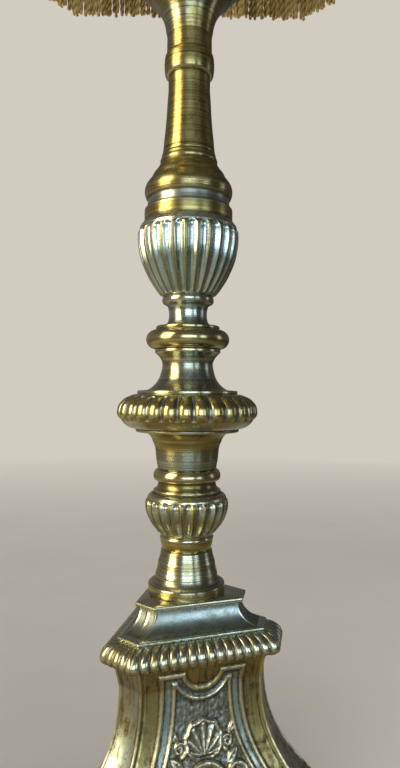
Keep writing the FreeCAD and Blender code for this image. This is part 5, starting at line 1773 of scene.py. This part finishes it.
    def braid(self, name: str, foot: float, node: str) -> bpy.types.Object:
        """A plaited gimp band with a corded edge above and below.

        Args:
            name: the piece's name.
            foot: the height of its lower edge, in mm.
            node: the CAD node it stands for.

        Returns:
            The piece.
        """
        levels = np.linspace(0, 1, 19)
        share = np.clip((foot + np.array([0, self.band_h]) - self.bottom) / self.height, 0, 1)
        half, cut = self.size(share[:1])
        rows = len(levels)
        height = foot + self.band_h * levels
        face = self.around(np.full(rows, half[0]), np.full(rows, cut[0]), height,
                           np.full(rows, -1.7), 0.75)
        run, middle = face["run"], (levels - 0.5)[:, None] * self.band_h
        total = run[0, -1] + 0.75
        waves = round(total / 10.5)
        lift = np.zeros_like(run)
        for strand in range(3):
            phase = run / total * waves * 2 * math.pi + strand * 2 * math.pi / 3
            over = 0.75 + 0.25 * np.cos(2 * phase)
            lift = np.maximum(lift, ridge(middle - 3.3 * np.sin(phase), 3.4) * over)
        twist = 0.8 + 0.2 * np.cos(run / total * round(total / 1.9) * 2 * math.pi
                                   + middle * 2.0)
        edge = ridge(np.abs(middle) - 5.1, 1.7) * twist
        lift = np.maximum(lift, edge)
        grain = 0.85 + 0.15 * np.cos(run * 5.2 + np.sin(middle * 1.7) * 2)
        points = face["points"] + face["normal"] * ((lift - 0.15) * 1.25)[..., None]
        back = self.around(np.full(2, half[0]), np.full(2, cut[0]), height[[-1, 0]],
                           np.full(2, -0.9), 0.75)["points"]
        # raised strands painted lighter and the dips between them darker: painted highlight and
        # painted shade
        tone = np.clip(0.15 + 0.75 * lift * grain, 0, 1)
        skin = Skin()
        skin.close(points, back, {"tone": (tone, 0.4)})
        return dress(skin.piece(name), Finish.BRAID.get(), self.body, "gimp_braid", node)

    def fringe(self) -> list[bpy.types.Object]:
        """The heading band and its twisted bullion cords.

        Returns:
            The heading and the cords.
        """
        top = self.bottom + self.lap
        half, cut = self.size(np.zeros(1))
        levels = np.linspace(0, 1, 9)
        height = top - 9.5 + 9.5 * levels
        face = self.around(np.full(9, half[0]), np.full(9, cut[0]), height, np.full(9, -2.6), 1.0)
        wrap = np.cos(face["run"] * 2 * math.pi / 2.1)
        points = face["points"] + face["normal"] * (0.35 * wrap)[..., None]
        back = points[[-1, 0]] - face["normal"][[-1, 0]] * 2.2
        # painted highlight on the wrapping's crowns and painted shade between them
        tone = 0.5 + 0.35 * wrap
        skin = Skin()
        skin.close(points, back, {"tone": (tone, 0.3)})
        heading = dress(skin.piece("fringe_heading"), Finish.BRAID.get(), self.body,
                        "bullion_fringe", "fringe")
        path = self.around(half, cut, np.array([top - 6.0]), np.array([-2.6]), 0.5)
        run, total = path["run"][0], path["run"][0, -1] + 0.5
        count = int(total / self.cord_gap)
        at = np.searchsorted(run, np.arange(count) / count * total + 0.6).clip(0, len(run) - 1)
        starts, outs = path["points"][0][at], path["normal"][0][at]
        rng = np.random.default_rng(11)
        rows, cols = 68, 8
        behind = (np.arange(count) % 2)[:, None]
        long = self.fringe_h - 8.0 - rng.random(count) * 3.4
        share = np.linspace(0, 1, rows)
        drop = long[:, None] * share
        tangent = np.stack([-outs[:, 1], outs[:, 0], outs[:, 2] * 0], 1)
        sway = rng.normal(0, 0.65, (count, 2))
        wave = rng.uniform(0, 6.3, (count, 2))
        side = (sway[:, :1] * share ** 1.5 + 0.25 * np.sin(drop * 0.16 + wave[:, :1]) * share)
        lean = np.clip(sway[:, 1:], -0.7, 1.0) * share ** 1.5 - 1.5 * behind
        centre = (starts[:, None] + tangent[:, None] * side[..., None]
                  + outs[:, None] * lean[..., None])
        centre[..., 2] -= drop
        phi = np.arange(cols) / cols * 2 * math.pi
        twist = drop * 2 * math.pi / rng.uniform(11.0, 13.5, (count, 1)) + wave[:, :1]
        lobe = np.cos(2 * (phi - twist[..., None]))
        tip = np.sqrt(np.clip(1 - np.clip((share - 0.965) / 0.035, 0, 1) ** 2, 0.03, 1))
        swell = self.cord_r * (0.97 + 0.05 * np.sin(drop * 0.5 + wave[:, 1:])) * tip
        radius = swell[..., None] * (0.84 + 0.17 * lobe)
        offset = (tangent[:, None, None] * (radius * np.cos(phi))[..., None]
                  + outs[:, None, None] * (radius * np.sin(phi))[..., None])
        points = centre[:, :, None] + offset
        bunch = np.repeat(rng.normal(0, 0.09, (count // 5 + 1, 1, 1)), 5, 0)[:count]
        # painted highlight on the twist's crowns and painted shade in its grooves; the random terms
        # are the yarn's own varying colour
        tone = 0.56 + 0.3 * lobe + rng.normal(0, 0.11, (count, 1, 1)) + bunch
        skin = Skin()
        skin.tubes(points, tone=tone)
        cords = dress(skin.piece("bullion_cords"), Finish.FRINGE.get(), self.body,
                      "bullion_fringe")
        return [heading, cords]

    def build(self) -> None:
        cover = self.sheet("silk_cover", 0.0, self.wall, Finish.SILK, "shade_silk", "shade_cover")
        lining = self.sheet("silk_lining", self.lining_inset, self.lining_wall, Finish.LINING,
                            "shade_lining", "shade_lining")
        trims = [
            self.braid("gimp_upper", self.bottom + self.height - self.band_h, "braid_upper"),
            self.braid("gimp_lower", self.bottom + self.lap, "braid_lower"),
            *self.fringe(),
        ]
        long, slant, area = self.area(0.0)
        LOG.info("cover cut %.3f x %.3f m, %.4f square metres", long, slant, area)
        long, slant, area = self.area(self.lining_inset)
        LOG.info("lining cut %.3f x %.3f m, %.4f square metres", long, slant, area)


# ----------------------------------------------------------------- the studio
@dataclass(frozen=True)
class Lamp:
    """A soft area light, placed round the object and aimed at it.

    A shown one is mirrored in the metal and doesn't light matt surfaces. The others light
    matt surfaces and aren't mirrored.
    """

    name: str
    azimuth: float
    distance: float
    height: float
    size: tuple[float, float]
    power: float
    colour: Colour
    shown: bool = True
    aim: float = 0.3

    def build(self) -> None:
        """Adds the light."""
        data = bpy.data.lights.new(self.name, "AREA")
        data.shape, data.size, data.size_y = "RECTANGLE", *self.size
        data.energy, data.color = self.power, self.colour
        made = bpy.data.objects.new(self.name, data)
        turn = math.radians(self.azimuth)
        made.location = (self.distance * math.sin(turn), -self.distance * math.cos(turn),
                         self.height)
        towards = Vector((0, 0, self.aim)) - made.location
        made.rotation_euler = towards.to_track_quat("-Z", "Y").to_euler()
        made.visible_glossy = self.shown
        made.visible_diffuse = not self.shown
        bpy.context.scene.collection.objects.link(made)


@dataclass
class Studio:
    """A pale floor and background, soft lights and the camera."""

    pale: Colour = (0.64, 0.60, 0.53)
    lamps: tuple[Lamp, ...] = (
        Lamp("window", -14, 2.0, 0.52, (1.4, 0.72), 14, (0.74, 0.91, 1.0)),
        Lamp("cool_right", 24, 2.0, 0.50, (0.55, 0.75), 3.5, (0.72, 0.90, 1.0)),
        Lamp("warm_strip", -80, 1.6, 0.9, (0.90, 1.5), 31, (1.0, 0.85, 0.50)),
        Lamp("right_fill", 78, 2.2, 0.6, (0.5, 1.0), 1.6, (0.85, 0.88, 1.0)),
        Lamp("key", -40, 1.9, 1.5, (1.2, 1.2), 17, (1.0, 0.98, 0.95), False),
        Lamp("fill", 60, 2.1, 1.0, (1.2, 1.2), 10, (0.95, 0.97, 1.0), False),
        Lamp("back", 170, 2.1, 1.3, (1.4, 1.0), 8, (1.0, 0.97, 0.92), False),
        Lamp("overhead", 20, 0.5, 2.3, (1.2, 1.2), 12, (1.0, 0.98, 0.95), False),
    )
    eye: tuple[float, float, float] = (-0.10198, -0.31385, 0.275)
    yaw: float = 18.0 + 1.19
    pitch: float = 0.67
    roll: float = 0.33
    lens: float = 28.125
    sensor: float = 36.0

    def build(self) -> None:
        """Sets the stage, the lights and the camera."""
        scene = bpy.context.scene
        scene.view_settings.view_transform = "Standard"
        for lamp in self.lamps:
            lamp.build()
        self.world()
        self.floor()
        self.camera()

    def world(self) -> None:
        """The background: full pale to the camera, a dimmer pale in gloss and glass, and a
        low even light for the rest."""
        world = bpy.data.worlds.new("room")
        bpy.context.scene.world = world
        world.use_nodes = True
        t = Tree(world.node_tree)
        room = t.find("BACKGROUND")
        t.feed(room, {"Color": rgba((0.9, 0.92, 1.0)), "Strength": 0.2})
        rays = t.node("LightPath")
        split = t.node("SeparateXYZ", None, {0: t.node("TexCoord").outputs["Generated"]})
        shade = t.span(split.outputs[0], -0.3, 0.7, 0.42, 0.16)
        ceiling = t.span(split.outputs[2], 0.15, 0.6, 1.0, 0.5)
        dim = t.math("MULTIPLY", shade, ceiling)
        strength = t.math("MAXIMUM", rays.outputs["Is Camera Ray"], dim)
        pale = t.node("Background", None, {"Color": rgba(self.pale), "Strength": strength})
        seen = t.math("MAXIMUM", rays.outputs["Is Camera Ray"], t.math(
            "MAXIMUM", rays.outputs["Is Glossy Ray"], rays.outputs["Is Transmission Ray"]))
        mixed = t.mix(seen, room.outputs[0], pale.outputs[0])
        t.feed(t.find("OUTPUT_WORLD"), {0: mixed})

    def floor(self) -> None:
        """A plain pale floor that fades into the background far from the lamp."""
        skin = Skin()
        turn = np.linspace(0, 2 * math.pi, 97)[:-1]
        radii = np.array([1.0, 400, 900, 1600, 3000, 8000, 40000])
        points = np.stack([radii[:, None] * np.cos(turn), radii[:, None] * np.sin(turn),
                           np.full((len(radii), 96), -0.05)], -1)[::-1]
        skin.grid(points)
        plate = skin.piece("floor")
        plate.data.materials.append(self.floor_look())

    def floor_look(self) -> bpy.types.Material:
        """The floor's material.

        In gloss it shows painted reflections instead of its own pale colour: a brown
        table near the lamp, a painted pool of cool light with warm to the left and painted
        shade to the right, dimmer far off. Far off the camera sees the background's colour.

        Returns:
            The material.
        """
        material, t, principled = shader("pale_floor")
        distance = t.node("VectorMath", "LENGTH", {0: t.place()}).outputs["Value"]
        cloud = t.noise(t.place(), 8.0, 3.0)
        colour = t.blend(t.span(cloud, 0.3, 0.7), rgba((0.70, 0.655, 0.575)),
                         rgba((0.73, 0.685, 0.60)))
        t.feed(principled, {"Base Color": colour, "Roughness": 0.6, "Specular IOR Level": 0.0})
        glow = t.node("Emission", None, {"Color": rgba(self.pale), "Strength": 1.0})
        rays = t.node("LightPath")
        fade = t.math("MULTIPLY", t.span(distance, 0.7, 2.2), rays.outputs["Is Camera Ray"])
        # painted reflections for glossy rays: a painted reflection of a brown table near the lamp,
        # a painted pool of cool light, warm to the left, painted shade to the right, dimmer far
        # off; the floor glows with them though it is no lamp
        split = t.node("SeparateXYZ", None, {0: t.place()})
        aside = t.math("SUBTRACT", split.outputs[0], t.math("MULTIPLY", split.outputs[1], 0.35))
        cast = t.blend(t.span(aside, -0.30, 0.0), rgba((0.43, 0.36, 0.23)),
                       rgba((0.35, 0.41, 0.37)))
        cast = t.blend(t.span(aside, 0.05, 0.45), cast, rgba((0.12, 0.10, 0.06)))
        cast = t.blend(t.span(distance, 0.18, 0.42), rgba((0.20, 0.145, 0.06)), cast)
        lit = t.span(distance, 0.7, 1.1, 1.0, 0.45)
        mirrored = t.node("Emission", None, {"Color": cast, "Strength": lit})
        soft = t.mix(rays.outputs["Is Glossy Ray"], principled.outputs[0], mirrored.outputs[0])
        t.feed(t.find("OUTPUT_MATERIAL"), {0: t.mix(fade, soft, glow.outputs[0])})
        return material

    def camera(self) -> None:
        """The camera at the photograph's viewing angle."""
        data = bpy.data.cameras.new("camera")
        data.lens, data.sensor_width = self.lens, self.sensor
        data.clip_start, data.clip_end = 0.01, 100.0
        made = bpy.data.objects.new("camera", data)
        bpy.context.scene.collection.objects.link(made)
        made.location = self.eye
        yaw, pitch, roll = map(math.radians, (self.yaw, self.pitch, self.roll))
        ahead = Vector((math.sin(yaw) * math.cos(pitch), math.cos(yaw) * math.cos(pitch),
                        math.sin(pitch)))
        made.rotation_mode = "QUATERNION"
        level = ahead.to_track_quat("-Z", "Y")
        made.rotation_quaternion = level @ Quaternion((0, 0, 1), roll)
        bpy.context.scene.camera = made


def main() -> None:
    """Builds the studio and the lamp piece by piece."""
    logging.basicConfig(level=logging.INFO, format="%(name)s: %(message)s")
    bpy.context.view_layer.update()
    Studio().build()
    for group in (Base(), Column(), Holder(), Shade()):
        group.build()
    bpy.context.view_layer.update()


if __name__ == "__main__":
    main()
